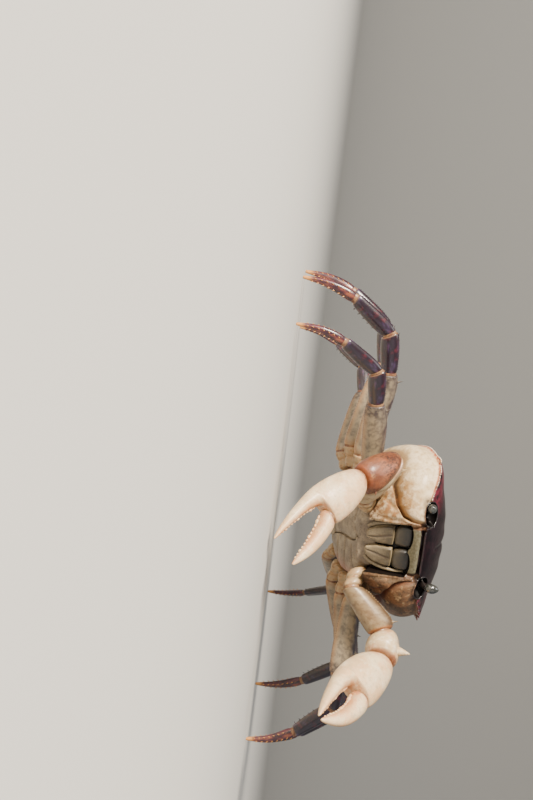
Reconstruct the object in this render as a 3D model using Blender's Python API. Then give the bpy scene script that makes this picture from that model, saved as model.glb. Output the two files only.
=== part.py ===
"""Life-size freshwater mud crab, standing on its eight walking legs.

Units are metres, +Z is up and the face points to -Y, so the crab's own right side is -X.
The trunk is modelled level in its own frame and pitched nose-up by one empty; every limb
article is lofted between two joint centres and ends in the plane that halves the joint's bend.
"""

import math

import bmesh
import bpy
from mathutils import Matrix, Vector

MM = 0.001

# Trunk
CARAPACE_WIDTH = 54 * MM
HALF_WIDTH = CARAPACE_WIDTH / 2
WIDEST_AT = 3 * MM            # the widest point, forward of the trunk's origin
FRONT_REACH = 17.5 * MM       # from the widest point to the frontal margin
REAR_REACH = 27 * MM          # of the outline's rear half, before the posterior margin cuts it off
REAR_CUT = 24.5 * MM          # from the widest point to the posterior margin
FRONT_POWER = 2.4             # superellipse powers of the outline's two halves
REAR_POWER = 1.75
CUT_POWER = 14               # how sharply the posterior margin cuts the outline
DOME_HEIGHT = 6.5 * MM        # above the lateral margin
DOME_CENTRE = -1 * MM
FLANK_DEPTH = 14.5 * MM       # from the lateral margin down to the leg bases
FLANK_STEPS = (1.0, 0.80, 0.60, 0.40, 0.22, 0.08, 0.0)   # shares of that depth, from the base up
FLANK_INSET = 0.9 * MM        # of the smooth flank inside the toothed margin
FLANK_CURVE = (3.4, 2.0, 1.9)  # how late the flank turns in: at the side, less in front, less behind
FOOTPRINT_HALF = 20.5 * MM    # outline of the flat underside over the legs
FOOTPRINT_REACH = (15.5 * MM, 16.2 * MM)
FOOTPRINT_CENTRE = -2 * MM
FOOTPRINT_POWER = 2.4
DOME_STEPS = (0.965, 0.91, 0.83, 0.72, 0.58, 0.42, 0.22)
DOME_POWER = 2.6
FRONT_FALL = 0.28             # how much more steeply the dome falls to the front
FRONT_DROP = 4.6 * MM         # how far the front hangs below the lateral margin
DROP_FROM = 9 * MM            # forward place where it starts to bend down
DROP_POWER = 1.6
STERNUM_BOTTOM = 20.5 * MM    # below the lateral margin
GAP = 0.3 * MM                # between any two pieces

# Margin of the shell, from the middle of the front outward
FRONT_DIP = 0.35 * MM
FRONT_STATIONS = (0.0, 2.6 * MM, 5.0 * MM)
ORBIT_NOTCH = 2.4 * MM
ORBIT_STATIONS = 5
TOOTH_TIPS = (16.9, 20.4, 23.4, 25.6)   # sideways places of the four teeth, in millimetres
TOOTH_REACH = (0.9, 1.3, 1.4, 1.3)
TOOTH_LEAN = (0.25, 0.97)               # forward slant shared by all four
TOOTH_BACK = ((0.6, 0.62), (1.5, 0.42), (2.35, 0.02))   # steps behind a tip and shares of its reach
REAR_STATIONS = 13
REAR_FIRST_TURN = 6.0                   # degrees behind the widest point

# Breast plate and the tail folded under it; stations are (forward, level, half width) behind the
# shell and (forward, half width) under the breast, in millimetres
STERNUM_RINGS = ((1.9, 1.0), (0.6, 0.95), (0.0, 0.88))   # above its bottom, share of its outline
STERNUM_FRONT = (6.9 * MM, 12.6 * MM)
TROUGH_DEPTH = 1.6 * MM
TROUGH_CLEARANCE = 4 * MM     # how far the trough's cutters reach below the sternum
TROUGH_REAR = (9.2, -13.5, -22.0)     # half width and the two forward limits of its open end
FLAP_THICKNESS = 1.5 * MM
FLAP_REAR = (
    (-21.4, -1.7, 9.0), (-21.3, -5.2, 9.4), (-20.8, -9.6, 9.2), (-19.9, -14.0, 9.0), (-19.2, -17.3, 8.8),
)
FLAP_STATIONS = (
    (-17.0, 8.6), (-14.0, 8.8), (-11.5, 6.4), (-7.5, 4.8), (-3.0, 3.7), (1.0, 3.0), (3.2, 2.4), (5.6, 1.0),
)
# Cross-section of the flap, from its edge inward: shares of the half width and half thickness
FLAP_SECTION = (
    (-1, -0.55), (-0.82, -1), (0.82, -1), (1, -0.55), (1, 0.2), (0.8, 1), (-0.8, 1), (-1, 0.2),
)

# Stance
RIDE_HEIGHT = 42.5 * MM
PITCH = 22.0                  # nose-up, degrees
TRUNK_SHIFT = 10.804 * MM     # brings the middle of the whole model over the origin

# Face
FRONT_HALF = 8.2 * MM         # the front between the orbits
ORBIT_CENTRE = 12.1 * MM
ORBIT_HALF = 3.9 * MM
ORBIT_HEIGHT = 2.5 * MM
ORBIT_FLOOR = 14.4 * MM       # how far forward the orbit's back wall stands
ORBIT_REACH = 12 * MM         # of the orbit's cutter, from its back wall forward
ORBIT_SIDES = 16
ORBIT_LEVEL = -2.6 * MM
MOUTH_TOP = (15.5 * MM, -7.0 * MM)   # forward, up
MOUTH_BOTTOM = (8.7 * MM, -18.1 * MM)
MOUTH_HALF = 9.4 * MM
MOUTH_CUT = (22 * MM, 12 * MM)       # of the recess's cutter, down the mouth's plane and out of it

# Mouth plates as (outward, down the mouth) outlines in millimetres, with height and edge bevel
MOUTH_PLATES = {
    "ischium": (((0.25, 4.4), (6.8, 4.2), (6.6, 7.5), (5.9, 10.8), (4.4, 13.2), (1.6, 13.4), (0.4, 11.4)),
                0.3, 2.5, 0.7),
    "merus": (((0.4, 0.6), (5.2, 0.4), (6.9, 1.5), (7.0, 4.7), (0.25, 4.8)), 0.33, 2.2, 0.5),
    "exopod": (((6.2, 1.8), (7.8, 1.1), (8.9, 2.3), (8.8, 6.6), (7.9, 10.4), (6.4, 12.5), (5.2, 11.6),
                (6.1, 7.4)), 0.33, 1.7, 0.5),
}

# Feeler: root and reach (outward, forward, up) in millimetres, and its sections as on the limbs
ANTENNA_ROOT = (9.15, -2.6)
ANTENNA_REACH = (0.5, 7.6, -0.5)
ANTENNA_SECTIONS = (
    (0.0, 0.55, 0.55, 0.55, 0), (0.30, 0.6, 0.6, 0.6, 0), (0.48, 0.5, 0.5, 0.5, 0),
    (0.54, 0.34, 0.34, 0.34, 0), (1.0, 0.2, 0.2, 0.2, 0),
)
EYE_PROFILE = (
    (0.00, 0.95), (0.30, 0.90), (0.45, 1.05), (0.56, 1.35), (0.70, 1.62), (0.84, 1.45), (0.95, 0.85),
)
EYE_ROOT = 1.0 * MM           # inward of the orbit's centre

# Eyes: outward sign, way the stalk points (outward, forward, up), its length and sag
EYES = {
    "right": (-1, (0.60, 0.79, -0.08), 6.6 * MM, 0.0),
    "left": (1, (0.19, 0.70, 0.69), 7.6 * MM, -0.9 * MM),
}

# Fan of leg bases along each side of the sternum: length of the facet, its outward azimuth
# forward of sideways. They run from the claw-bearing leg to the last walking leg.
FACETS = ((7.0 * MM, 50.0), (5.8 * MM, 28.0), (5.8 * MM, 6.0), (5.8 * MM, -16.0), (5.8 * MM, -42.0))
MIDDLE_FACET = 2
MIDDLE_FACET_AT = (16.5 * MM, -4.0 * MM)
BASE_LEVEL = -17.6 * MM
BASE_DROP = 10.0              # downward tilt of a leg's base, degrees
CLAW_BASE_LEVEL = -18.5 * MM
CLAW_BASE_DROP = 30.0
BASE_LENGTH = 7.0 * MM

# Walking legs: name, scale of length, scale of depth, azimuth of the leg's own plane
LEGS = (
    ("leg_2", 0.90, 0.95, 16.0),
    ("leg_3", 1.00, 1.00, 4.0),
    ("leg_4", 0.97, 1.00, -18.0),
    ("leg_5", 0.80, 0.86, -46.0),
)
MERUS = 27.5 * MM
CARPUS = 12.5 * MM
PROPODUS = 15 * MM
DACTYLUS = 16.5 * MM
CARPUS_SLOPE = -6.0
PROPODUS_SLOPE = -50.0
DACTYLUS_SLOPE = -74.0
DACTYLUS_BOW = 1.0 * MM

# Sections of the articles at scale 1: share of the length, half heights above and below
# the axis, half thickness, and the height of a spine on the upper edge
BASE_SECTIONS = (
    (0.00, 2.5, 2.4, 2.5, 0), (0.30, 2.6, 2.4, 2.6, 0), (0.50, 2.0, 2.0, 2.0, 0),
    (0.66, 2.4, 2.3, 2.1, 0), (1.00, 2.3, 2.2, 1.8, 0),
)
MERUS_SECTIONS = (
    (0.00, 2.3, 2.2, 1.8, 0), (0.07, 2.9, 2.7, 2.0, 0), (0.32, 3.9, 3.2, 2.3, 0),
    (0.68, 4.2, 3.5, 2.3, 0), (0.88, 3.9, 3.4, 2.2, 0), (0.93, 3.7, 3.3, 2.1, 1.3),
    (1.00, 2.7, 2.8, 1.9, 0),
)
CARPUS_SECTIONS = (
    (0.00, 2.4, 2.2, 1.6, 0), (0.25, 2.9, 2.4, 1.8, 0), (0.62, 3.1, 2.6, 1.9, 0),
    (0.90, 2.9, 2.6, 1.8, 0), (1.00, 2.3, 2.3, 1.6, 0),
)
PROPODUS_SECTIONS = (
    (0.00, 2.2, 2.2, 1.5, 0), (0.14, 2.7, 2.5, 1.7, 0), (0.60, 2.6, 2.4, 1.6, 0),
    (0.92, 2.2, 2.1, 1.4, 0), (1.00, 1.7, 1.7, 1.2, 0),
)
DACTYLUS_SECTIONS = (
    (0.00, 1.6, 1.6, 1.2, 0), (0.12, 1.8, 1.8, 1.3, 0), (0.40, 1.5, 1.5, 1.15, 0),
    (0.70, 1.05, 1.05, 0.9, 0), (0.92, 0.6, 0.6, 0.6, 0), (1.00, 0.42, 0.42, 0.42, 0),
)
LEG_SIDES = 10
ANTENNA_SIDES = 8

# Claws. Joints are (outward, forward, up) from the floor under the trunk's origin; aim runs
# from the wrist to the fingertips, and finger_side from the fixed finger to the movable one.
CLAWS = {
    "right": {
        "outward": -1,
        "elbow": (25.9, 20.5, 31.4),
        "wrist": (24.6, 28.4, 24.1),
        "aim": (-13.1, 23.3, -21.8),
        "finger_side": (-0.78, 0.26, 0.57),
        "palm_length": 15.5 * MM,
        "palm_height": 13.0 * MM,
        "palm_thickness": 8.2 * MM,
        "finger_length": 19.0 * MM,
        "gape": 24.0,
        "spine": (-0.75, 0.45, 0.45),
        "spine_length": 4.2 * MM,
    },
    "left": {
        "outward": 1,
        "elbow": (26.9, 21.5, 36.6),
        "wrist": (32.0, 30.0, 37.5),
        "aim": (4.0, 33.0, -16.3),
        "finger_side": (0.80, 0.25, 0.60),
        "palm_length": 17.5 * MM,
        "palm_height": 15.6 * MM,
        "palm_thickness": 9.6 * MM,
        "finger_length": 19.5 * MM,
        "gape": 0.0,
        "spine": (-0.20, 0.25, 0.95),
        "spine_length": 6.8 * MM,
    },
}
SHOULDER_STEP = 0.4 * MM      # length over which the palm steps down to its fixed finger
CLAW_BASE_SECTIONS = (
    (0.00, 2.6, 2.5, 3.0, 0), (0.35, 2.9, 2.7, 3.2, 0), (0.52, 2.4, 2.3, 2.6, 0),
    (0.70, 2.9, 2.7, 2.8, 0), (1.00, 2.9, 2.6, 2.5, 0),
)
CLAW_MERUS_SECTIONS = (
    (0.00, 2.9, 2.6, 2.5, 0), (0.15, 3.5, 2.9, 2.9, 0), (0.45, 4.4, 3.1, 3.5, 0),
    (0.75, 4.9, 3.3, 4.0, 0), (0.90, 4.6, 3.3, 4.0, 1.2), (1.00, 3.3, 3.0, 3.4, 0),
)
CLAW_CARPUS_SECTIONS = (
    (0.00, 3.3, 3.1, 3.5, 0), (0.20, 4.8, 3.9, 5.2, 0), (0.50, 5.5, 4.5, 5.9, 0),
    (0.80, 5.2, 4.4, 5.5, 0), (1.00, 3.5, 3.4, 3.6, 0),
)
CLAW_SIDES = 12
SPINE_PLACE = 0.62            # of the way along the wrist block
SPINE_ROOT = 2.2 * MM
SPINE_SECTIONS = ((0.0, 1.7), (0.55, 1.05), (0.97, 0.22))
SPINE_SIDES = 7

# Palm and fixed finger: share of the palm or of the finger, top and bottom in palm heights,
# half thickness in palm thicknesses
PALM_SECTIONS = (
    (0.00, 0.25, -0.23, 0.32), (0.08, 0.32, -0.29, 0.39), (0.27, 0.42, -0.39, 0.46),
    (0.54, 0.48, -0.46, 0.50), (0.81, 0.50, -0.49, 0.49), (1.00, 0.47, -0.49, 0.44),
)
FIXED_FINGER_SECTIONS = (
    (0.00, -0.04, -0.48, 0.40), (0.12, -0.10, -0.46, 0.35), (0.24, -0.12, -0.43, 0.31),
    (0.36, -0.08, -0.39, 0.27), (0.50, -0.12, -0.35, 0.23), (0.62, -0.08, -0.30, 0.19),
    (0.76, -0.10, -0.25, 0.15), (0.88, -0.06, -0.18, 0.10), (1.00, -0.05, -0.09, 0.05),
)
FINGER_SECTIONS = (
    (0.00, 0.21, 0.21, 0.34), (0.08, 0.23, 0.21, 0.35), (0.22, 0.21, 0.17, 0.31),
    (0.34, 0.20, 0.19, 0.28), (0.48, 0.18, 0.14, 0.24), (0.60, 0.16, 0.15, 0.20),
    (0.74, 0.13, 0.10, 0.16), (0.88, 0.08, 0.07, 0.10), (1.00, 0.03, 0.03, 0.05),
)
FINGER_LEVEL = 0.245          # of the movable finger's root above the palm's axis
FINGER_DROP = 0.23            # of its tip below its root when shut
FINGER_BOW = 0.085


def clear_scene():
    for obj in list(bpy.data.objects):
        bpy.data.objects.remove(obj, do_unlink=True)


def finish_material(name, colour, roughness):
    """A Principled material in the shell's own colour."""
    made = bpy.data.materials.new(name)
    made.use_nodes = True
    shader = made.node_tree.nodes["Principled BSDF"]
    shader.inputs["Base Color"].default_value = (*colour, 1.0)
    shader.inputs["Roughness"].default_value = roughness
    shader.inputs["Metallic"].default_value = 0.0
    made.diffuse_color = (*colour, 1.0)
    return made


def object_from(name, bm, material, parent=None, origin=None):
    """Turns a bmesh into a smooth-shaded object whose origin is at the given point."""
    bmesh.ops.recalc_face_normals(bm, faces=bm.faces)
    if origin is not None:
        bmesh.ops.translate(bm, verts=bm.verts, vec=-origin)
    mesh = bpy.data.meshes.new(name)
    bm.to_mesh(mesh)
    bm.free()
    mesh.shade_smooth()
    mesh.set_sharp_from_angle(angle=math.radians(38))
    mesh.materials.append(material)
    obj = bpy.data.objects.new(name, mesh)
    bpy.context.scene.collection.objects.link(obj)
    obj.parent = parent
    if origin is not None:
        obj.location = origin
    return obj


def loft(rings, pole=None):
    """A closed bmesh through rings of equal length; pole closes the last ring in a point."""
    bm = bmesh.new()
    rows = [[bm.verts.new(point) for point in ring] for ring in rings]
    for near, far in zip(rows, rows[1:]):
        for k in range(len(near)):
            after = (k + 1) % len(near)
            bm.faces.new((near[k], near[after], far[after], far[k]))
    bm.faces.new(reversed(rows[0]))
    if pole is None:
        bm.faces.new(rows[-1])
    else:
        top = bm.verts.new(pole)
        for k, vert in enumerate(rows[-1]):
            bm.faces.new((vert, rows[-1][(k + 1) % len(rows[-1])], top))
    return bm


def rounded(value, power=0.85):
    """Signed power, which squares up a cosine or sine for a superellipse."""
    return math.copysign(abs(value) ** power, value)


def bisector(before, after):
    """Unit normal of the plane that halves the bend between two directions."""
    return (before.normalized() + after.normalized()).normalized()


def article_rings(start, end, up, plane_in, plane_out, sections, sides, bow=0.0, decay=1,
                  gap_in=GAP / 2, gap_out=GAP / 2):
    """Rings of one limb article. Each section is (share, above, below, half width, spine).

    The end rings lie in the joint planes, half a gap back from them, and the rings between
    lean less and less, so no part of the article crosses either plane.
    """
    along = (end - start).normalized()
    length = (end - start).length
    up = (up - along * up.dot(along)).normalized()
    aside = along.cross(up)
    rings = []
    for share, above, below, half, spine in sections:
        ring = []
        for k in range(sides):
            angle = math.pi / 2 + 2 * math.pi * k / sides
            rise = rounded(math.sin(angle))
            rise = rise * above if rise > 0 else rise * below
            if k == 0:
                rise += spine
            offset = up * rise + aside * rounded(math.cos(angle)) * half
            lean_in = (gap_in - offset.dot(plane_in)) / along.dot(plane_in)
            lean_out = (-gap_out - offset.dot(plane_out)) / along.dot(plane_out)
            travel = length * share + lean_in * (1 - share) ** decay + lean_out * share ** decay
            arch = up * bow * math.sin(math.pi * share)
            ring.append(start + along * travel + offset + arch)
        rings.append(ring)
    return rings


def scaled(sections, depth):
    """Leg sections, written in millimetres, at a leg's own depth."""
    return [(s, a * depth * MM, b * depth * MM, w * depth * MM, p * depth * MM)
            for s, a, b, w, p in sections]


def trunk_point(outward, forward, up):
    """A point of the trunk's own frame, where forward is -Y."""
    return Vector((outward, -forward, up))


def front_drop(forward):
    """How far the bent-down front lowers the carapace at a forward place."""
    share = (forward - DROP_FROM) / (WIDEST_AT + FRONT_REACH - DROP_FROM)
    return FRONT_DROP * min(max(share, 0.0), 1.0) ** DROP_POWER


def margin_forward(x, front):
    """How far forward the carapace's smooth outline lies at a sideways distance x."""
    reach, power = (FRONT_REACH, FRONT_POWER) if front else (REAR_REACH, REAR_POWER)
    inside = max(0.0, 1 - (abs(x) / HALF_WIDTH) ** power)
    reach *= inside ** (1 / power)
    if front:
        return WIDEST_AT + reach
    return WIDEST_AT - reach * (1 + (reach / REAR_CUT) ** CUT_POWER) ** (-1 / CUT_POWER)


def half_outline():
    """The carapace's right-hand margin from the middle of the front to the middle of the rear.

    Each entry is (smooth x, smooth forward, margin x, margin forward): the second pair carries
    the orbit's notch and the four teeth.
    """
    points = []
    for x in FRONT_STATIONS:
        dip = FRONT_DIP * math.cos(x / FRONT_HALF * math.pi / 2)
        points.append((x, margin_forward(x, True), x, margin_forward(x, True) - dip))
    points.append((FRONT_HALF, margin_forward(FRONT_HALF, True),
                   FRONT_HALF, margin_forward(FRONT_HALF, True) - FRONT_DIP))
    for step in range(ORBIT_STATIONS):
        share = (step + 0.5) / ORBIT_STATIONS
        x = ORBIT_CENTRE + ORBIT_HALF * (2 * share - 1)
        notch = ORBIT_NOTCH * math.sin(math.pi * share) ** 0.6
        points.append((x, margin_forward(x, True), x, margin_forward(x, True) - notch))
    for tip, reach in zip(TOOTH_TIPS, TOOTH_REACH):
        x, forward = tip * MM, margin_forward(tip * MM, True)
        outward = Vector((x / HALF_WIDTH ** 2, (forward - WIDEST_AT) / FRONT_REACH ** 2)).normalized()
        point = Vector((x, forward)) + (outward + Vector(TOOTH_LEAN)) * 0.6 * reach * MM
        points.append((x, forward, point.x, point.y))
        for back, rise in TOOTH_BACK:
            bx = min(x + back * MM * (outward.y + 0.1), HALF_WIDTH * 0.999)
            by = margin_forward(bx, True)
            shoved = Vector((bx, by)) + outward * rise * reach * MM
            points.append((bx, by, shoved.x, shoved.y))
    for step in range(REAR_STATIONS + 1):
        turn = math.radians(REAR_FIRST_TURN + (90 - REAR_FIRST_TURN) * step / REAR_STATIONS)
        x = HALF_WIDTH * max(0.0, math.cos(turn)) ** (2 / REAR_POWER)
        points.append((x, margin_forward(x, False), x, margin_forward(x, False)))
    return points


def full_outline():
    """The whole margin as (side, entry), starting at the middle of the front."""
    half = half_outline()
    right = [(1, entry) for entry in half]
    left = [(-1, entry) for entry in reversed(half[1:-1])]
    return right + left


def footprint_point(angle):
    """Point (x, forward) of the underside's outline in the direction of an angle."""
    c, s = math.cos(angle), math.sin(angle)
    reach = FOOTPRINT_REACH[0] if s > 0 else FOOTPRINT_REACH[1]
    radius = (abs(c / FOOTPRINT_HALF) ** FOOTPRINT_POWER + abs(s / reach) ** FOOTPRINT_POWER)
    radius **= -1 / FOOTPRINT_POWER
    return Vector((radius * c, FOOTPRINT_CENTRE + radius * s))


def flank_ring(outline, depth):
    """Ring of the flank at a share of its depth; only the topmost one carries the teeth."""
    ring = []
    for side, (smooth_x, smooth_forward, margin_x, margin_forward_at) in outline:
        angle = math.atan2(smooth_forward - WIDEST_AT, smooth_x)
        at_side, in_front, behind = FLANK_CURVE
        power = at_side - in_front * max(0.0, math.sin(angle)) - behind * max(0.0, -math.sin(angle))
        toothed = Vector((margin_x, margin_forward_at))
        smooth = Vector((smooth_x, smooth_forward)) * (1 - FLANK_INSET / HALF_WIDTH)
        top = toothed
        if depth > 0:
            near_margin = 0.35 if depth == FLANK_STEPS[-2] else 0.0
            top = smooth.lerp(toothed, near_margin)
        flat = top.lerp(footprint_point(angle), depth ** power)
        drop = front_drop(top.y) * (1 - depth)
        ring.append(trunk_point(side * flat.x, flat.y, -FLANK_DEPTH * depth - drop))
    return ring


def dome_ring(outline, share):
    """Ring of the domed back at a share of the way from its middle to the margin."""
    ring = []
    for side, (smooth_x, smooth_forward, margin_x, margin_forward_at) in outline:
        frontness = max(0.0, (smooth_forward - WIDEST_AT) / FRONT_REACH)
        toothed = max(0.0, (share - DOME_STEPS[2]) / (1 - DOME_STEPS[2]))
        edge = Vector((smooth_x, smooth_forward)).lerp(Vector((margin_x, margin_forward_at)), toothed)
        forward = DOME_CENTRE + (edge.y - DOME_CENTRE) * share
        rise = (1 - share ** DOME_POWER) ** (1 - FRONT_FALL * frontness ** 3)
        up = DOME_HEIGHT * rise - front_drop(forward)
        ring.append(trunk_point(side * edge.x * share, forward, up))
    return ring


def make_carapace(parent, material):
    """Domed shield with its toothed margin, its flanks and the flat underside over the legs."""
    outline = full_outline()
    rings = [flank_ring(outline, depth) for depth in FLANK_STEPS]
    rings += [dome_ring(outline, share) for share in DOME_STEPS]
    pole = trunk_point(0, DOME_CENTRE, DOME_HEIGHT)
    return object_from("carapace", loft(rings, pole), material, parent)


def facet_chain():
    """Centres of the leg-base facets, and the corners between them from front to rear."""
    def way(azimuth):
        return Vector((-math.sin(math.radians(azimuth)), math.cos(math.radians(azimuth))))

    length, azimuth = FACETS[MIDDLE_FACET]
    middle = Vector(MIDDLE_FACET_AT)
    centres = {MIDDLE_FACET: middle}
    corners = []
    for direction in (1, -1):
        walk = middle + way(azimuth) * (direction * length / 2)
        corners.append(walk)
        index = MIDDLE_FACET - direction
        while 0 <= index < len(FACETS):
            step = way(FACETS[index][1]) * (direction * FACETS[index][0])
            centres[index] = walk + step / 2
            walk = walk + step
            corners.append(walk)
            index -= direction
    corners.sort(key=lambda corner: -corner.y)
    return [centres[k] for k in range(len(FACETS))], corners


def extruded(points, low, high):
    """Bmesh prism over a list of (x, forward) points, between two levels."""
    bm = bmesh.new()
    face = bm.faces.new([bm.verts.new(trunk_point(x, f, low)) for x, f in points])
    risen = bmesh.ops.extrude_face_region(bm, geom=[face])
    verts = [item for item in risen["geom"] if isinstance(item, bmesh.types.BMVert)]
    bmesh.ops.translate(bm, verts=verts, vec=(0, 0, high - low))
    return bm


def add_boolean(obj, cutter):
    """Cuts one object out of another and hides the cutter."""
    modifier = obj.modifiers.new(cutter.name, "BOOLEAN")
    modifier.operation = "DIFFERENCE"
    modifier.object = cutter
    modifier.solver = "EXACT"
    cutter.hide_render = True
    cutter.display_type = "WIRE"


def flap_polygon(grow):
    """Outline (x, forward) of the tail flap under the sternum, grown by a margin in millimetres."""
    last = FLAP_STATIONS[-1]
    side = [((half + grow) * MM, (forward + (grow if (forward, half) == last else 0)) * MM)
            for forward, half in FLAP_STATIONS]
    return side + [(-x, forward) for x, forward in reversed(side)]


def make_sternum(parent, material):
    """Breast plate between the leg bases, with a facet for each base and a trough for the flap."""
    side = [Vector(STERNUM_FRONT)] + facet_chain()[1]
    polygon = [(p.x, p.y) for p in side] + [(-p.x, p.y) for p in reversed(side)]
    levels = [(-FLANK_DEPTH - GAP, 1.0)]
    levels += [(-STERNUM_BOTTOM + rise * MM, share) for rise, share in STERNUM_RINGS]
    rings = [[trunk_point(x * share, f * share, level) for x, f in polygon] for level, share in levels]
    sternum = object_from("sternum", loft(rings), material, parent)
    half, near, far = (value * MM for value in TROUGH_REAR)
    open_end = [(half, near), (-half, near), (-half, far), (half, far)]
    low, high = -STERNUM_BOTTOM - TROUGH_CLEARANCE, -STERNUM_BOTTOM + TROUGH_DEPTH
    for name, points in (("flap_trough", flap_polygon(GAP / MM)), ("flap_trough_end", open_end)):
        add_boolean(sternum, object_from(name, extruded(points, low, high), material, parent))
    return sternum


def mouth_axes():
    """Unit directions of the mouth's plane in the trunk's frame: down it, and out of it."""
    down = trunk_point(0, MOUTH_BOTTOM[0] - MOUTH_TOP[0], MOUTH_BOTTOM[1] - MOUTH_TOP[1]).normalized()
    out = Vector((1, 0, 0)).cross(down)
    return down, out if out.y < 0 else -out


def mouth_slab(points, low, high):
    """Prism standing on the mouth's plane over (outward, down the plane) points."""
    down, out = mouth_axes()
    top = trunk_point(0, *MOUTH_TOP)
    bm = bmesh.new()
    face = bm.faces.new([bm.verts.new(top + Vector((x, 0, 0)) + down * y + out * low)
                         for x, y in points])
    risen = bmesh.ops.extrude_face_region(bm, geom=[face])
    verts = [item for item in risen["geom"] if isinstance(item, bmesh.types.BMVert)]
    bmesh.ops.translate(bm, verts=verts, vec=out * (high - low))
    return bm


def cut_mouth(target, parent, material):
    """Opens the recess that the third maxillipeds close."""
    width = MOUTH_HALF
    down, out = MOUTH_CUT
    points = [(-width, 0), (width, 0), (width, down), (-width, down)]
    cutter = object_from(target.name + "_mouth", mouth_slab(points, 0, out), material, parent)
    add_boolean(target, cutter)


def mouth_plate(name, outward, shape, material, parent):
    """One flat plate of the mouth, with its outer rim bevelled."""
    points, low, high, bevel = shape
    bm = mouth_slab([(outward * x * MM, y * MM) for x, y in points], low * MM, high * MM)
    bmesh.ops.recalc_face_normals(bm, faces=bm.faces)
    out = mouth_axes()[1]
    outer = [face for face in bm.faces if face.normal.dot(out) > 0.9]
    rim = list({edge for face in outer for edge in face.edges})
    bmesh.ops.bevel(bm, geom=rim, offset=bevel * MM, segments=1, affect="EDGES")
    return object_from(name, bm, material, parent)


def make_maxilliped(side_name, outward, parent, material):
    """One mouth limb: long ischium, squarish merus above it and the slim exopod outside."""
    name = "maxilliped_" + side_name
    body = mouth_plate(name, outward, MOUTH_PLATES["ischium"], material, parent)
    others = bpy.data.collections.new(name + "_plates")
    bpy.context.scene.collection.children.link(others)
    for part in ("merus", "exopod"):
        piece = mouth_plate(f"{name}_{part}", outward, MOUTH_PLATES[part], material, parent)
        bpy.context.scene.collection.objects.unlink(piece)
        others.objects.link(piece)
    join_collection(body, others)
    return body


def join_collection(body, others):
    """Unions a collection into body, applies the union and removes the collection's objects."""
    bpy.context.view_layer.update()
    modifier = body.modifiers.new("join", "BOOLEAN")
    modifier.operation = "UNION"
    modifier.operand_type = "COLLECTION"
    modifier.collection = others
    modifier.solver = "EXACT"
    bpy.context.view_layer.objects.active = body
    with bpy.context.temp_override(object=body, active_object=body, selected_objects=[body]):
        bpy.ops.object.modifier_apply(modifier=modifier.name)
    for piece in list(others.objects):
        bpy.data.objects.remove(piece, do_unlink=True)
    bpy.data.collections.remove(others)


def cut_orbits(carapace, parent, material):
    """Flat-backed oval sockets for the eyes."""
    for outward in (-1, 1):
        rings = []
        for forward in (ORBIT_FLOOR, ORBIT_FLOOR + ORBIT_REACH):
            rings.append([trunk_point(outward * ORBIT_CENTRE + ORBIT_HALF * math.cos(a), forward,
                                      ORBIT_LEVEL + ORBIT_HEIGHT * math.sin(a))
                          for a in (2 * math.pi * k / ORBIT_SIDES for k in range(ORBIT_SIDES))])
        cutter = object_from(f"orbit_cut_{outward}", loft(rings), material, parent)
        add_boolean(carapace, cutter)


def make_eye(side_name, outward, aim, length, bow, parent, material):
    """Stalk and cornea on one axis, from the flat back of the orbit."""
    root = trunk_point(outward * (ORBIT_CENTRE - EYE_ROOT), ORBIT_FLOOR + GAP, ORBIT_LEVEL)
    aim = trunk_point(outward * aim[0], aim[1], aim[2]).normalized()
    sections = [(share, r * MM, r * MM, r * MM, 0) for share, r in EYE_PROFILE]
    tip = root + aim * length
    rings = article_rings(root, tip, Vector((0, 0, 1)), trunk_point(0, 1, 0), aim, sections,
                          LEG_SIDES, bow=bow, decay=2, gap_in=0, gap_out=0)
    return object_from("eye_" + side_name, loft(rings, tip), material, parent)


def make_antenna(side_name, outward, parent, material):
    """Short feeler beside the front, out of the inner corner of the orbit."""
    root = trunk_point(outward * ANTENNA_ROOT[0] * MM, ORBIT_FLOOR + GAP, ANTENNA_ROOT[1] * MM)
    reach = trunk_point(outward * ANTENNA_REACH[0], ANTENNA_REACH[1], ANTENNA_REACH[2]) * MM
    rings = article_rings(root, root + reach, Vector((0, 0, 1)), trunk_point(0, 1, 0),
                          reach.normalized(), scaled(ANTENNA_SECTIONS, 1.0), ANTENNA_SIDES,
                          decay=3, gap_in=0, gap_out=0)
    return object_from("antenna_" + side_name, loft(rings), material, parent)


def make_abdomen(parent, material):
    """The tail: folded down the rear of the carapace and forward under the sternum."""
    flap_level = -STERNUM_BOTTOM + TROUGH_DEPTH - GAP - FLAP_THICKNESS / 2
    stations = [(trunk_point(0, forward * MM, level * MM), half * MM)
                for forward, level, half in FLAP_REAR]
    stations += [(trunk_point(0, forward * MM, flap_level), half * MM)
                 for forward, half in FLAP_STATIONS]
    rings = []
    for k, (centre, half) in enumerate(stations):
        before = stations[max(k - 1, 0)][0]
        after = stations[min(k + 1, len(stations) - 1)][0]
        out = Vector((1, 0, 0)).cross((after - before).normalized())
        rings.append([centre + Vector((x * half, 0, 0)) + out * (y * FLAP_THICKNESS / 2)
                      for x, y in FLAP_SECTION])
    return object_from("abdomen", loft(rings), material, parent)


def add_article(name, material, start, end, **how):
    """One limb article as an object with its origin at its own joint."""
    rings = article_rings(start, end, **how)
    return object_from(name, loft(rings), material, origin=start)


def base_frame(place, facet, outward, level, drop, length):
    """Root, hip, way of the base and facet normal in the world, for a base of a given length."""
    centre = facet_chain()[0][facet]
    turn, tilt = math.radians(FACETS[facet][1]), math.radians(drop)
    turning = place.to_3x3()
    normal = (turning @ trunk_point(outward * math.cos(turn), math.sin(turn), 0)).normalized()
    way = trunk_point(outward * math.cos(turn) * math.cos(tilt), math.sin(turn) * math.cos(tilt),
                      -math.sin(tilt))
    way = (turning @ way).normalized()
    root = place @ trunk_point(outward * centre.x, centre.y, level)
    return root, root + way * length, way, normal


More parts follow.
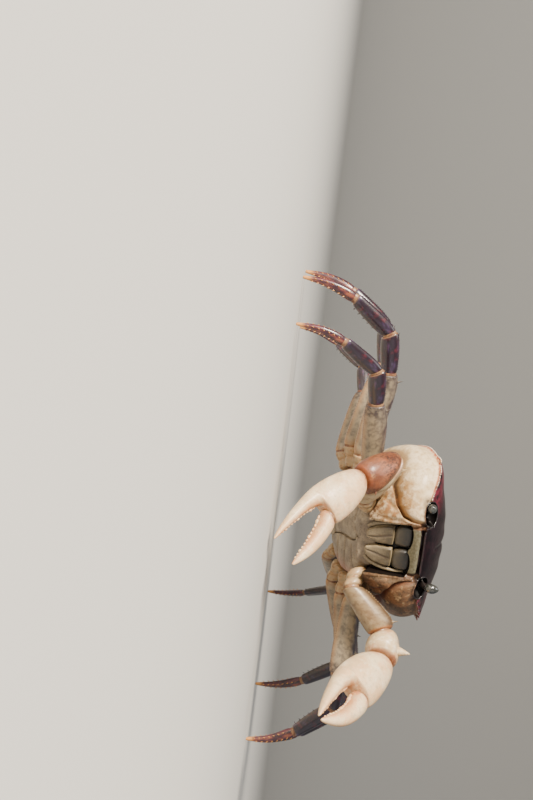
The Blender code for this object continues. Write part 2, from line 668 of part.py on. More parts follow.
def slope_direction(azimuth, slope, outward):
    """World direction of a leg article in its leg's upright plane."""
    turn, tilt = math.radians(azimuth), math.radians(slope)
    level = math.cos(tilt)
    return Vector((outward * math.cos(turn) * level, -math.sin(turn) * level, math.sin(tilt)))


def make_walking_leg(side_name, outward, index, spec, place, materials):
    """Base, merus, carpus, propodus and dactylus, with the foot's small flat on the floor."""
    name, length_scale, depth, azimuth = spec
    root, hip, base, facet_normal = base_frame(place, index, outward, BASE_LEVEL, BASE_DROP,
                                               BASE_LENGTH * depth)
    carpus = slope_direction(azimuth, CARPUS_SLOPE, outward)
    propodus = slope_direction(azimuth, PROPODUS_SLOPE, outward)
    dactylus = slope_direction(azimuth, DACTYLUS_SLOPE, outward)
    lengths = [part * length_scale for part in (MERUS, CARPUS, PROPODUS, DACTYLUS)]
    fallen = hip.z + carpus.z * lengths[1] + propodus.z * lengths[2] + dactylus.z * lengths[3]
    merus_slope = math.degrees(math.asin(-fallen / lengths[0]))
    merus = slope_direction(azimuth, merus_slope, outward)
    knee = hip + merus * lengths[0]
    wrist = knee + carpus * lengths[1]
    ankle = wrist + propodus * lengths[2]
    foot = ankle + dactylus * lengths[3]
    up = Vector((0, 0, 1))
    turns = [bisector(a, b) for a, b in
             ((base, merus), (merus, carpus), (carpus, propodus), (propodus, dactylus))]
    label = f"{name}_{side_name}_"
    common = {"up": up, "sides": LEG_SIDES}
    add_article(label + "base", materials["joint"], root, hip, plane_in=facet_normal, plane_out=turns[0],
                sections=scaled(BASE_SECTIONS, depth), gap_in=GAP, **common)
    add_article(label + "merus", materials["merus"], hip, knee, plane_in=turns[0], plane_out=turns[1],
                sections=scaled(MERUS_SECTIONS, depth), **common)
    add_article(label + "carpus", materials["leg"], knee, wrist, plane_in=turns[1], plane_out=turns[2],
                sections=scaled(CARPUS_SECTIONS, depth), **common)
    add_article(label + "propodus", materials["leg"], wrist, ankle, plane_in=turns[2], plane_out=turns[3],
                sections=scaled(PROPODUS_SECTIONS, depth), **common)
    add_article(label + "dactylus", materials["tip"], ankle, foot, plane_in=turns[3], plane_out=-up,
                sections=scaled(DACTYLUS_SECTIONS, depth), bow=DACTYLUS_BOW, decay=2, gap_out=0.0, **common)


def make_claw(side_name, spec, place, materials):
    """Base, merus, carpus, palm with its fixed finger, and the movable finger."""
    outward = spec["outward"]
    root, hip, base, facet_normal = base_frame(place, 0, outward, CLAW_BASE_LEVEL, CLAW_BASE_DROP,
                                               BASE_LENGTH)
    ground = Vector((place.translation.x, place.translation.y, 0))
    elbow, wrist = (ground + trunk_point(outward * x * MM, f * MM, z * MM)
                    for x, f, z in (spec["elbow"], spec["wrist"]))
    aim = trunk_point(outward * spec["aim"][0], *spec["aim"][1:]).normalized()
    hint = trunk_point(outward * spec["finger_side"][0], *spec["finger_side"][1:])
    up = (hint - aim * hint.dot(aim)).normalized()
    merus, carpus = (elbow - hip).normalized(), (wrist - elbow).normalized()
    level = Vector((0, 0, 1))
    turns = [bisector(base, merus), bisector(merus, carpus), bisector(carpus, aim)]
    label = f"claw_{side_name}_"
    size = spec["palm_height"] / (13.6 * MM)
    add_article(label + "base", materials["joint"], root, hip, up=level, plane_in=facet_normal,
                plane_out=turns[0], sections=scaled(CLAW_BASE_SECTIONS, 1.0), sides=LEG_SIDES, gap_in=GAP)
    add_article(label + "merus", materials["merus"], hip, elbow, up=level, plane_in=turns[0],
                plane_out=turns[1], sections=scaled(CLAW_MERUS_SECTIONS, size ** 0.5), sides=CLAW_SIDES)
    wrist_block = add_article(label + "carpus", materials["claw"], elbow, wrist, up=level,
                              plane_in=turns[1], plane_out=turns[2],
                              sections=scaled(CLAW_CARPUS_SECTIONS, size ** 0.5), sides=CLAW_SIDES)
    spine_aim = (outward * spec["spine"][0], *spec["spine"][1:])
    root = elbow.lerp(wrist, SPINE_PLACE)
    add_carpal_spine(wrist_block, root, spine_aim, spec["spine_length"], size ** 0.5, materials["claw"])

    length = spec["palm_length"] + spec["finger_length"]
    high, thick = spec["palm_height"], spec["palm_thickness"]
    stations = [(share * spec["palm_length"] / length, top, bottom, half)
                for share, top, bottom, half in PALM_SECTIONS]
    finger = spec["finger_length"] - SHOULDER_STEP
    for share, top, bottom, half in FIXED_FINGER_SECTIONS:
        along = spec["palm_length"] + SHOULDER_STEP + finger * share
        stations.append((along / length, top, bottom, half))
    rings = palm_rings(wrist, aim, up, length, stations, high, thick, turns[2])
    object_from(label + "palm", loft(rings), materials["claw"], origin=wrist)

    hinge = wrist + aim * (spec["palm_length"] + SHOULDER_STEP) + up * FINGER_LEVEL * high
    opening = Matrix.Rotation(math.radians(spec["gape"]), 3, aim.cross(up))
    finger_tip = hinge + opening @ (aim * finger - up * FINGER_DROP * high)
    sections = [(s, a * high, b * high, w * thick, 0) for s, a, b, w in FINGER_SECTIONS]
    add_article(label + "finger", materials["claw"], hinge, finger_tip, up=up, plane_in=aim,
                plane_out=(finger_tip - hinge).normalized(), sections=sections, sides=LEG_SIDES,
                bow=FINGER_BOW * high, decay=4, gap_in=GAP, gap_out=0.0)


def palm_rings(wrist, aim, up, length, stations, high, thick, plane_in):
    """Rings of the palm and fixed finger, whose top drops at the shoulder."""
    aside = aim.cross(up)
    rings = []
    for share, top, bottom, half in stations:
        middle, reach = (top + bottom) / 2 * high, (top - bottom) / 2 * high
        ring = []
        for k in range(CLAW_SIDES):
            angle = math.pi / 2 + 2 * math.pi * k / CLAW_SIDES
            offset = up * (middle + reach * rounded(math.sin(angle)))
            offset += aside * rounded(math.cos(angle)) * half * thick
            lean = (GAP / 2 - offset.dot(plane_in)) / aim.dot(plane_in)
            ring.append(wrist + aim * (length * share + lean * (1 - share) ** 4) + offset)
        rings.append(ring)
    return rings


def add_carpal_spine(block, middle, aim, length, size, material):
    """The sharp tooth on the inner corner of the claw's wrist."""
    aim = trunk_point(*aim).normalized()
    root = middle + aim * SPINE_ROOT * size
    tip = root + aim * length * size
    along = (tip - root).normalized()
    aside = along.orthogonal().normalized()
    other = along.cross(aside)
    rings = []
    for share, radius in SPINE_SECTIONS:
        ring = []
        for k in range(SPINE_SIDES):
            turn = 2 * math.pi * k / SPINE_SIDES
            ring.append(root.lerp(tip, share)
                        + (aside * math.cos(turn) + other * math.sin(turn)) * radius * MM * size)
        rings.append(ring)
    extra = bpy.data.collections.new(block.name + "_spine")
    bpy.context.scene.collection.children.link(extra)
    spine = object_from(block.name + "_spine", loft(rings, tip), material)
    bpy.context.scene.collection.objects.unlink(spine)
    extra.objects.link(spine)
    join_collection(block, extra)


def main():
    clear_scene()
    shell = finish_material("dark_shell", (0.030, 0.014, 0.016), 0.22)
    belly = finish_material("pale_shell", (0.56, 0.47, 0.36), 0.40)
    mouth = finish_material("olive_shell", (0.16, 0.13, 0.085), 0.35)
    eye = finish_material("eye", (0.012, 0.012, 0.014), 0.10)
    materials = {
        "joint": finish_material("joint_shell", (0.50, 0.38, 0.24), 0.45),
        "merus": finish_material("merus_shell", (0.37, 0.32, 0.25), 0.40),
        "leg": finish_material("leg_shell", (0.050, 0.022, 0.040), 0.30),
        "tip": finish_material("leg_tip", (0.085, 0.028, 0.035), 0.35),
        "claw": finish_material("claw_shell", (0.86, 0.68, 0.50), 0.35),
    }
    trunk = bpy.data.objects.new("trunk", None)
    bpy.context.scene.collection.objects.link(trunk)
    trunk.location = (0, TRUNK_SHIFT, RIDE_HEIGHT)
    trunk.rotation_euler = (math.radians(-PITCH), 0, 0)
    bpy.context.view_layer.update()
    place = trunk.matrix_world.copy()

    carapace = make_carapace(trunk, shell)
    cut_orbits(carapace, trunk, shell)
    cut_mouth(carapace, trunk, shell)
    sternum = make_sternum(trunk, belly)
    cut_mouth(sternum, trunk, belly)
    make_abdomen(trunk, belly)
    for side_name, (outward, aim, length, bow) in EYES.items():
        make_eye(side_name, outward, aim, length, bow, trunk, eye)
    for side_name, outward in (("right", -1), ("left", 1)):
        make_maxilliped(side_name, outward, trunk, mouth)
        make_antenna(side_name, outward, trunk, mouth)
        make_claw(side_name, CLAWS[side_name], place, materials)
        for index, spec in enumerate(LEGS, start=1):
            make_walking_leg(side_name, outward, index, spec, place, materials)


main()
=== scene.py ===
import math
from functools import cached_property

import bpy
import numpy as np
from mathutils import Matrix, Vector


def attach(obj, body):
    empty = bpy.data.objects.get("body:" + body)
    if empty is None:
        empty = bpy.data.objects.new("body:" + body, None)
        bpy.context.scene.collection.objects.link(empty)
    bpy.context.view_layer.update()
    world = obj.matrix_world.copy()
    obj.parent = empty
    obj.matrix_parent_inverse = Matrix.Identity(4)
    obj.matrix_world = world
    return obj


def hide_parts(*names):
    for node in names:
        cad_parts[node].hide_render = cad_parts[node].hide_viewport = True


# A freshwater mud crab, life size, standing on its eight walking legs.
# Everything is drawn in millimetres in its own plain position, then put in its place in metres.

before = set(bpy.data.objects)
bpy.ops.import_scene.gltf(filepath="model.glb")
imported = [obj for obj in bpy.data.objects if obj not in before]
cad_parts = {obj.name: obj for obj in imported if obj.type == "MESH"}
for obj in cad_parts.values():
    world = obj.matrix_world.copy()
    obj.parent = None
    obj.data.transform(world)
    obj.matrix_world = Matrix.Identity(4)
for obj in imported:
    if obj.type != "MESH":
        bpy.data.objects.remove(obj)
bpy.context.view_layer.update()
mm = 0.001
sides = {"right": -1, "left": 1}
skyward = Vector((0, 0, 1))
print("frame loaded")

stance = {"shift": 10.804, "rideHeight": 42.5, "pitch": 22.0}    # same values as the solids use

# from the trunk's millimetres to metres above the floor
trunkPlace = (Matrix.Translation(Vector((0, stance["shift"], stance["rideHeight"])) * mm)
              @ Matrix.Rotation(math.radians(-stance["pitch"]), 4, "X")
              @ Matrix.Scale(mm, 4))


def outForUp(outward, forward, up):
    return Vector((outward, -forward, up))                       # the face points to -Y


def clamp(values):
    return np.clip(values, 0, 1)


# work on the picked piece
def clearSelection():
    if bpy.context.object and bpy.context.object.mode != "OBJECT":
        bpy.ops.object.mode_set(mode="OBJECT")
    bpy.ops.object.select_all(action="DESELECT")


def pick(*pieces):
    clearSelection()
    for piece in pieces:
        piece.select_set(True)
    bpy.context.view_layer.objects.active = pieces[0]


def nameIt(name, piece=None):
    piece = piece or bpy.context.object
    piece.name = piece.data.name = name
    return piece


def settle(name, scale=(1, 1, 1)):
    # names and sizes what was just drawn, with its place in its mesh
    piece = nameIt(name)
    piece.scale = scale
    bpy.ops.object.transform_apply(location=True, rotation=True, scale=True)
    return piece


def modify(piece, kind, **settings):
    modifier = piece.modifiers.new("change", kind)
    for name, value in settings.items():
        setattr(modifier, name, value)
    pick(piece)
    bpy.ops.object.modifier_apply(modifier=modifier.name)


def faceOut(piece, merge=0):
    pick(piece)
    bpy.ops.object.mode_set(mode="EDIT")
    bpy.ops.mesh.select_all(action="SELECT")
    if merge:
        bpy.ops.mesh.remove_doubles(threshold=merge)
    bpy.ops.mesh.normals_make_consistent(inside=False)
    bpy.ops.object.mode_set(mode="OBJECT")


def shadeByAngle(piece, degrees):
    pick(piece)
    bpy.ops.object.shade_smooth_by_angle(angle=math.radians(degrees))


def joinPieces(pieces, name):
    pick(*pieces)
    if len(pieces) > 1:
        bpy.ops.object.join()
    return nameIt(name)


def moveMesh(piece, place):
    piece.data.transform(place)
    if place.to_3x3().determinant() < 0:
        piece.data.flip_normals()


def copyPiece(master, name, place=Matrix()):
    # its own mesh, moved in the mesh
    twin = master.copy()
    twin.data = master.data.copy()
    bpy.context.scene.collection.objects.link(twin)
    moveMesh(twin, place)
    return nameIt(name, twin)


def removePieces(*pieces):
    for piece in pieces:
        bpy.data.objects.remove(piece, do_unlink=True)


def readPoints(piece):
    points = np.empty(len(piece.data.vertices) * 3)
    piece.data.vertices.foreach_get("co", points)
    return points.reshape(-1, 3)


def writePoints(piece, points):
    piece.data.vertices.foreach_set("co", np.ascontiguousarray(points, dtype=float).ravel())
    piece.data.update()


def storePaint(piece, **marks):
    # named attributes on the points, which the materials read; a plain number or triple goes to every point
    for name, values in marks.items():
        if np.shape(values) in ((), (3,)):
            values = np.full((len(piece.data.vertices), *np.shape(values)), values)
        vector = np.ndim(values) == 2
        layer = piece.data.attributes.get(name) or piece.data.attributes.new(
            name, "FLOAT_VECTOR" if vector else "FLOAT", "POINT")
        layer.data.foreach_set("vector" if vector else "value",
                               np.ascontiguousarray(values, dtype=float).ravel())


def markLocal(piece, unit=(1, -1, 1)):
    storePaint(piece, local=readPoints(piece) / unit)


# ways to draw a form
def ringsFrom(sections, length):
    # sections give share of the length, height above and below, half width
    return [(share * length, (above - below) / 2, (above + below) / 2, half)
            for share, above, below, half in sections]


def ringAt(rings, along):
    return (np.interp(along, *np.array(rings).T[[0, k]]) for k in (1, 2, 3))


def drawTube(name, count, rings, levels=2):
    # a round face on edge, then one extrusion for each ring: (along, up, half height, half width)
    clearSelection()
    along, up, high, wide = rings[0]
    bpy.ops.mesh.primitive_circle_add(vertices=count, radius=1, fill_type="NGON", enter_editmode=True,
                                      location=(along, 0, up), rotation=(0, math.radians(90), 0))
    bpy.ops.transform.resize(value=(1, wide, high), center_override=(along, 0, up))
    for nextAlong, nextUp, nextHigh, nextWide in rings[1:]:
        bpy.ops.mesh.extrude_region_move(
            TRANSFORM_OT_translate={"value": (nextAlong - along, 0, nextUp - up)})
        bpy.ops.transform.resize(value=(1, nextWide / wide, nextHigh / high),
                                 center_override=(nextAlong, 0, nextUp))
        along, up, high, wide = nextAlong, nextUp, nextHigh, nextWide
    bpy.ops.mesh.select_all(action="SELECT")
    bpy.ops.mesh.normals_make_consistent(inside=False)
    pick(bpy.context.object)
    piece = settle(name)
    modify(piece, "SUBSURF", levels=levels, render_levels=levels)
    piece.data.shade_smooth()

    # shell = share of the length, side and rise from -1 to 1
    points = readPoints(piece)
    up, high, wide = ringAt(rings, points[:, 0])
    along = (points[:, 0] - rings[0][0]) / (rings[-1][0] - rings[0][0])
    storePaint(piece, local=points,
               shell=np.stack([along, points[:, 1] / wide, (points[:, 2] - up) / high], 1))
    return piece


def drawRibbon(name, points, widths, closed=False):
    # a smooth cord of varying thickness, made a mesh
    line = bpy.data.curves.new(name, "CURVE")
    line.dimensions = "3D"
    spline = line.splines.new("NURBS")
    spline.points.add(len(points) - 1)
    for knot, point, width in zip(spline.points, points, widths):
        knot.co = (*point, 1)
        knot.radius = width
    spline.order_u = 4
    spline.use_endpoint_u = not closed
    spline.use_cyclic_u = closed
    spline.resolution_u = 6
    line.bevel_depth = 1.0
    line.bevel_resolution = 3
    line.use_fill_caps = not closed
    cord = bpy.data.objects.new(name, line)
    bpy.context.scene.collection.objects.link(cord)
    pick(cord)
    bpy.ops.object.convert(target="MESH")
    piece = nameIt(name)
    faceOut(piece, merge=0.0001)
    piece.data.shade_smooth()
    return piece


def sculptSphere(name, segments, rings, shape):
    # a globe whose points a function moves and marks, given turn (radians) and level from 1 down to -1
    clearSelection()
    bpy.ops.mesh.primitive_uv_sphere_add(segments=segments, ring_count=rings, radius=1)
    piece = nameIt(name)
    x, y, z = readPoints(piece).T
    points, marks = shape(np.arctan2(y, x), np.arcsin(np.clip(z, -1, 1)) / (math.pi / 2))
    writePoints(piece, points)
    piece.data.shade_smooth()
    storePaint(piece, **marks)
    faceOut(piece)
    return piece


def sculptPlate(name, columns, rows, shape, thickness, offset=-1):
    # a flat grid whose points a function moves and marks, given shares across and down, then given a wall
    clearSelection()
    bpy.ops.mesh.primitive_grid_add(x_subdivisions=columns, y_subdivisions=rows, size=1)
    piece = nameIt(name)
    across, down, _ = readPoints(piece).T + 0.5
    points, marks = shape(across, down)
    writePoints(piece, points)
    storePaint(piece, **marks)
    modify(piece, "SOLIDIFY", thickness=thickness, offset=offset)
    faceOut(piece)
    piece.data.shade_smooth()
    return piece


def aim(origin, along, up, size):
    # place that turns +X to along and +Z near up, with size as one number or three
    along = Vector(along).normalized()
    aside = Vector(up).cross(along).normalized()
    turn = Matrix((along, aside, along.cross(aside))).transposed().to_4x4()
    sizes = (size,) * 3 if isinstance(size, (int, float)) else size
    return Matrix.Translation(Vector(origin)) @ turn @ Matrix.Diagonal((*sizes, 1))


def keep(piece, name, material, place=None):
    # the last step for every finished piece, which stands for the solid of its own name
    if place is not None:
        moveMesh(piece, place)
    nameIt(name, piece)
    piece.data.materials.clear()
    piece.data.materials.append(material)
    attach(piece, "root")
    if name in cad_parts:
        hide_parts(name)
    return piece


# sums on sockets, and one material with its tree
class Sock:
    def __init__(self, paint, socket):
        self.paint = paint
        self.socket = socket

    def maths(self, operation, *values):
        return self.paint.node("ShaderNodeMath", {"operation": operation}, dict(enumerate(values)))

    def __add__(self, other):
        return self.maths("ADD", self, other)

    def __sub__(self, other):
        return self.maths("SUBTRACT", self, other)

    def __rsub__(self, other):
        return self.maths("SUBTRACT", other, self)

    def __mul__(self, other):
        return self.maths("MULTIPLY", self, other)

    __radd__ = __add__
    __rmul__ = __mul__

    def __abs__(self):
        return self.maths("ABSOLUTE", self)

    def most(self, other):
        return self.maths("MAXIMUM", self, other)

    def ramp(self, start, end):
        # 0 before start and 1 after end, smooth between; start may be the larger
        low, high, first, last = (start, end, 0, 1) if start < end else (end, start, 1, 0)
        return self.paint.node("ShaderNodeMapRange", {"interpolation_type": "SMOOTHSTEP"},
                               {"Value": self, "From Min": low, "From Max": high,
                                "To Min": first, "To Max": last})


class Paint:
    def __init__(self, name, settings, tones=None):
        self.material = bpy.data.materials.new(name)
        self.material.use_nodes = True
        self.tree = self.material.node_tree
        self.shader = self.tree.nodes["Principled BSDF"]
        self.tones = tones or {}
        for socket, value in settings.items():
            self.shader.inputs[socket].default_value = value

    def node(self, kind, settings, sockets, output=0):
        made = self.tree.nodes.new(kind)
        for name, value in settings.items():
            setattr(made, name, value)
        for name, value in sockets.items():
            self.feed(made.inputs[name], value)
        return Sock(self, made.outputs[output])

    def feed(self, target, value):
        if isinstance(value, Sock):
            self.tree.links.new(value.socket, target)
        else:
            target.default_value = value

    def read(self, name, output="Fac"):
        return self.node("ShaderNodeAttribute", {"attribute_name": name}, {}, output)

    @cached_property
    def local(self):
        # millimetres in the piece's own plain position
        return self.read("local", "Vector")

    def axes(self, name):
        vector = self.local if name == "local" else self.read(name, "Vector")
        parts = self.node("ShaderNodeSeparateXYZ", {}, {"Vector": vector}).socket.node
        return [Sock(self, output) for output in parts.outputs]

    def noise(self, scale, detail=4.0, rough=0.6, stretch=None):
        where = self.local
        if stretch:
            where = self.node("ShaderNodeVectorMath", {"operation": "MULTIPLY"}, {0: where, 1: stretch})
        return self.node("ShaderNodeTexNoise", {"noise_dimensions": "3D"},
                         {"Vector": where, "Scale": scale, "Detail": detail, "Roughness": rough}, "Fac")

    def cells(self, scale, feature="F1"):
        return self.node("ShaderNodeTexVoronoi", {"feature": feature},
                         {"Vector": self.local, "Scale": scale}, "Distance")

    def coats(self, first, *others):
        # a first tone with others laid over it, each by its amount; a tone is a name, a colour or a sum
        colour = self.tones.get(first, first)
        for coat, amount in others:
            colour = self.node("ShaderNodeMix", {"data_type": "RGBA", "clamp_factor": True},
                               {0: amount, 6: colour, 7: self.tones.get(coat, coat)}, 2)
        return colour

    def finish(self, colour, rough, height=None, strength=0.3, distance=0.0002):
        self.feed(self.shader.inputs["Base Color"], colour)
        self.feed(self.shader.inputs["Roughness"], rough)
        if height is not None:
            self.feed(self.shader.inputs["Normal"],
                      self.node("ShaderNodeBump", {}, {"Height": height, "Strength": strength,
                                                       "Distance": distance}))
        return self.material


def tone(red, green, blue):
    # a colour as a picture editor shows it, made linear
    return (*[((value / 255 + 0.055) / 1.055) ** 2.4 if value > 10 else value / 255 / 12.92
              for value in (red, green, blue)], 1.0)


wetShell = {"Coat Weight": 0.55, "Coat Roughness": 0.12, "IOR": 1.5}
dampShell = {"Coat Weight": 0.3, "Coat Roughness": 0.22, "IOR": 1.5}

backPaint = {
    "dark": tone(26, 15, 18), "darker": tone(13, 8, 10), "maroon": tone(104, 34, 48), "plum": tone(34, 19, 24),
    "cream": tone(226, 204, 168), "pale": tone(206, 180, 138), "tan": tone(164, 126, 80),
    "ochre": tone(150, 98, 60), "brown": tone(92, 66, 46), "deepBrown": tone(44, 29, 22),
    "epistome": tone(110, 105, 86), "olive": tone(74, 66, 46), "front": tone(24, 14, 16),
    # socket: near black, painted shade for the insides of the orbits and of the mouth's frame
    "rim": tone(172, 74, 40), "redBrown": tone(84, 38, 30), "post": tone(116, 80, 56), "socket": tone(14, 10, 10),
}


def paintBack():
    paint = Paint("backShell", {"Coat Weight": 0.12, "Coat Roughness": 0.15, "Specular IOR Level": 0.17}, backPaint)
    across, ahead, up = paint.axes("local")
    wide = abs(across)
    # the crab's left side, which the paint darkens as painted shade
    left = across.ramp(3, 12)
    cavity, socket, rim = (paint.read(name) for name in ("cavity", "socket", "rim"))
    cloud = paint.noise(0.10, rough=0.55)
    blotch = paint.noise(0.32, 5.0)
    stain = paint.noise(0.62, 5.0, 0.62)
    speck = paint.noise(1.5, 3.0)
    fleck = paint.cells(1.3)

    # the domed back, maroon towards the margin of the crab's right, much less towards the crab's left as painted
    # shade
    redSides = rim.ramp(6.5, 0.5) * ahead.ramp(-14, 0) * wide.ramp(9, 16) * (1 - 0.6 * left)
    back = paint.coats(
        "dark", ("plum", cloud.ramp(0.35, 0.7)),
        ("brown", stain.ramp(0.54, 0.70) * ahead.ramp(8, -6) * 0.35),
        ("darker", blotch.ramp(0.42, 0.66) * 0.9),
        ("maroon", redSides * (0.25 + 0.75 * stain.ramp(0.40, 0.6))),
        ("maroon", fleck.ramp(0.24, 0.12) * 0.16),
        # painted shade in the grooves
        ("darker", cavity.ramp(0.1, 0.9) * 0.7),
        ("darker", rim.ramp(2.6, 0.8) * stain.ramp(0.50, 0.44) * 0.8))

    # brown and marbled flank on the crab's left, darker than the right: partly its own marbling, partly painted
    # shade on the side away from the light
    marbleAndShade = paint.coats(
        "post", ("pale", stain.ramp(0.52, 0.68) * 0.45),
        ("deepBrown", blotch.ramp(0.54, 0.40) * 0.8 + speck.ramp(0.52, 0.66) * 0.4),
        # grooves reddish brown: partly their own colour, partly painted shade
        ("redBrown", cavity.ramp(0.15, 0.6) * 0.8))

    # the face between the orbits: dark front, pale lip over the mouth
    level = up + 0.9 * (stain - 0.5) + 0.010 * across * across
    front = paint.coats(
        "front", ("epistome", level.ramp(-4.8, -5.6) * wide.ramp(7.6, 6.2)),
        ("olive", speck.ramp(0.42, 0.6) * 0.6 * level.ramp(-4.9, -5.6)),
        ("olive", level.ramp(-6.5, -7.1) * 0.6),
        # painted shade in the hollows of the front, such as the gap that holds the small feelers
        ("front", cavity.ramp(0.2, 0.8)))

    # the flanks: cream above, tan and ochre below, with brown posts beside the mouth; the tan down the upper lobe
    # is partly painted shade
    lower = up.ramp(-9.5, -13.0)
    # painted shade on the upper lobe's lower part, which faces down, over its own tan
    downwardShade = up.ramp(-4.5, -11.0) * wide.ramp(26, 16) * (0.35 + 0.5 * blotch.ramp(0.40, 0.60))
    patch = stain.ramp(0.47, 0.60) * lower * wide.ramp(9.0, 10.5) * wide.ramp(19, 15)
    edge = rim.ramp(-1.1, -0.3) * wide.ramp(14.0, 16.0)
    post = wide.ramp(6.9, 7.7) * wide.ramp(10.2, 9.0) * ahead.ramp(10, 12) * up.ramp(-15.0, -9.0)
    # painted shade in a band under each orbit's lower edge
    underOrbitShade = wide.ramp(7.2, 8.4) * wide.ramp(17.8, 15.8) * ahead.ramp(12, 14) * up.ramp(-6.4, -4.9)
    whole = paint.coats(
        "cream", ("pale", blotch.ramp(0.42, 0.66)),
        ("tan", stain.ramp(0.46, 0.64) * 0.4 + downwardShade),
        ("post", up.ramp(-7.0, -10.5) * speck.ramp(0.50, 0.62) * 0.45),
        ("tan", speck.ramp(0.52, 0.7) * 0.25),
        ("brown", (lower * 0.30 + ahead.ramp(2, -12) * 0.4) * stain.ramp(0.30, 0.56)),
        # painted shade in the creases and hollows of the flank
        ("tan", cavity.ramp(0.10, 0.45) * 0.8),
        ("deepBrown", cavity.ramp(0.40, 1.0) * 0.85),
        ("ochre", patch * 0.5),
        # the crab's left flank: marbled, and darker as painted shade
        (marbleAndShade, left * 0.92),
        ("deepBrown", up.ramp(-15.0, -18.5) * (0.3 + 0.5 * stain.ramp(0.4, 0.6))),
        # on the crab's left the rim band and the posts beside the mouth are darker: painted shade
        (paint.coats("rim", ("redBrown", left)), edge * (0.25 + 0.7 * speck.ramp(0.38, 0.58))),
        (front, wide.ramp(8.2, 7.2) * ahead.ramp(10, 13)),
        (paint.coats("post", ("deepBrown", left)), post * (0.6 + 0.4 * speck.ramp(0.35, 0.6))),
        ("deepBrown", underOrbitShade * (0.6 + 0.4 * stain.ramp(0.35, 0.6))),
        (back, rim.ramp(-0.35, 0.10)),
        # painted shade: the insides of the orbits and of the mouth's frame near black
        ("socket", socket.ramp(0.2, 0.8)))
    rough = 0.26 + 0.16 * blotch + 0.12 * rim.ramp(0, -2) + 0.15 * cavity.ramp(0.2, 1)
    height = speck * 0.35 - fleck.ramp(0.16, 0.05) * 0.5 * rim.ramp(0.5, 3) + stain * 0.7
    return paint.finish(whole, rough, height, 0.45, 0.0003)


def paintRim():
    # lip of the orbits: near black above, brown at the foot
    paint = Paint("orbitRim", wetShell)
    grain = paint.noise(1.4)
    colour = paint.coats(tone(92, 66, 50), (tone(150, 112, 84), grain.ramp(0.45, 0.65)),
                         (tone(24, 15, 17), paint.axes("local")[2].ramp(-5.4, -4.6)))
    return paint.finish(colour, 0.25 + 0.2 * grain, grain)


def paintBeads():
    # cream-white granules whose whiteness is partly painted glint; on the crab's left they turn dark maroon as
    # painted shade
    paint = Paint("marginBead", wetShell)
    grain = paint.noise(0.9, 3.0)
    colour = paint.coats(tone(240, 220, 200), (tone(176, 84, 60), grain.ramp(0.52, 0.66) * 0.8),
                         # painted shade: dark maroon on the crab's left
                         (tone(84, 36, 38), paint.axes("local")[0].ramp(-4, 4)))
    return paint.finish(colour, 0.25, grain, 0.2, 0.0001)


limbPaint = {
    "clawCream": tone(234, 208, 168), "clawPeach": tone(226, 180, 130), "clawOrange": tone(196, 118, 58),
    "clawWhite": tone(244, 228, 198), "hinge": tone(158, 78, 46), "clawGreyAndShade": tone(184, 160, 126),
    "wristMauve": tone(140, 86, 56), "wristRust": tone(92, 46, 24), "wristSpeck": tone(32, 17, 14),
    "wristRim": tone(140, 70, 30), "wristPale": tone(214, 184, 140),
    "armBeige": tone(156, 132, 96), "armPale": tone(186, 166, 130), "armBrown": tone(84, 62, 42),
    "legBeige": tone(154, 138, 112), "legGrey": tone(114, 102, 86), "legOrange": tone(196, 140, 84),
    "legDark": tone(40, 27, 37), "legViolet": tone(78, 60, 92), "legBlack": tone(24, 16, 22),
    "tipMaroon": tone(92, 36, 46), "tipDark": tone(50, 26, 36), "tipHorn": tone(206, 142, 72),
    "skinOrange": tone(198, 124, 74),
}


def paintClaw():
    paint = Paint("clawShell", {"Coat Weight": 0.25, "Coat Roughness": 0.25, "Subsurface Weight": 0.06,
                                "Subsurface Scale": 0.002}, limbPaint)
    along, _, rise = paint.axes("shell")
    edge = paint.read("edge")
    cloud = paint.noise(0.16, rough=0.55)
    blotch = paint.noise(0.55)
    grain = paint.noise(2.2, 3.0)
    net = paint.cells(0.9, "DISTANCE_TO_EDGE")
    colour = paint.coats(
        "clawCream", ("clawPeach", cloud.ramp(0.40, 0.62) * 0.8),
        ("clawWhite", blotch.ramp(0.52, 0.70) * 0.6),
        ("clawPeach", net.ramp(0.10, 0.0) * 0.45 * blotch.ramp(0.35, 0.6)),
        # painted shade: greyer towards each piece's lower side as drawn
        ("clawGreyAndShade", rise.ramp(-0.2, -0.9) * 0.45 * cloud.ramp(0.3, 0.6)),
        ("clawOrange", rise.ramp(0.55, 1.0) * 0.45 * blotch.ramp(0.40, 0.62)),
        ("clawOrange", edge.ramp(0.30, 1.0) * (0.25 + 0.4 * blotch)),
        ("hinge", along.ramp(0.07, -0.01) * 0.8 * grain.ramp(0.3, 0.55)),
        ("clawGreyAndShade", blotch.ramp(0.46, 0.34) * 0.5),
        ("clawOrange", edge.ramp(0.0, 0.5) * blotch.ramp(0.44, 0.58) * 0.3),
        ("clawGreyAndShade", grain.ramp(0.6, 0.75) * 0.35),
        ("hinge", along.ramp(0.16, 0.04) * blotch.ramp(0.40, 0.60) * 0.4))
    height = grain * 0.4 + blotch * 0.8 + net.ramp(0.08, 0.0) * -0.25
    return paint.finish(colour, 0.32 + 0.24 * grain, height, 0.4, 0.0003)


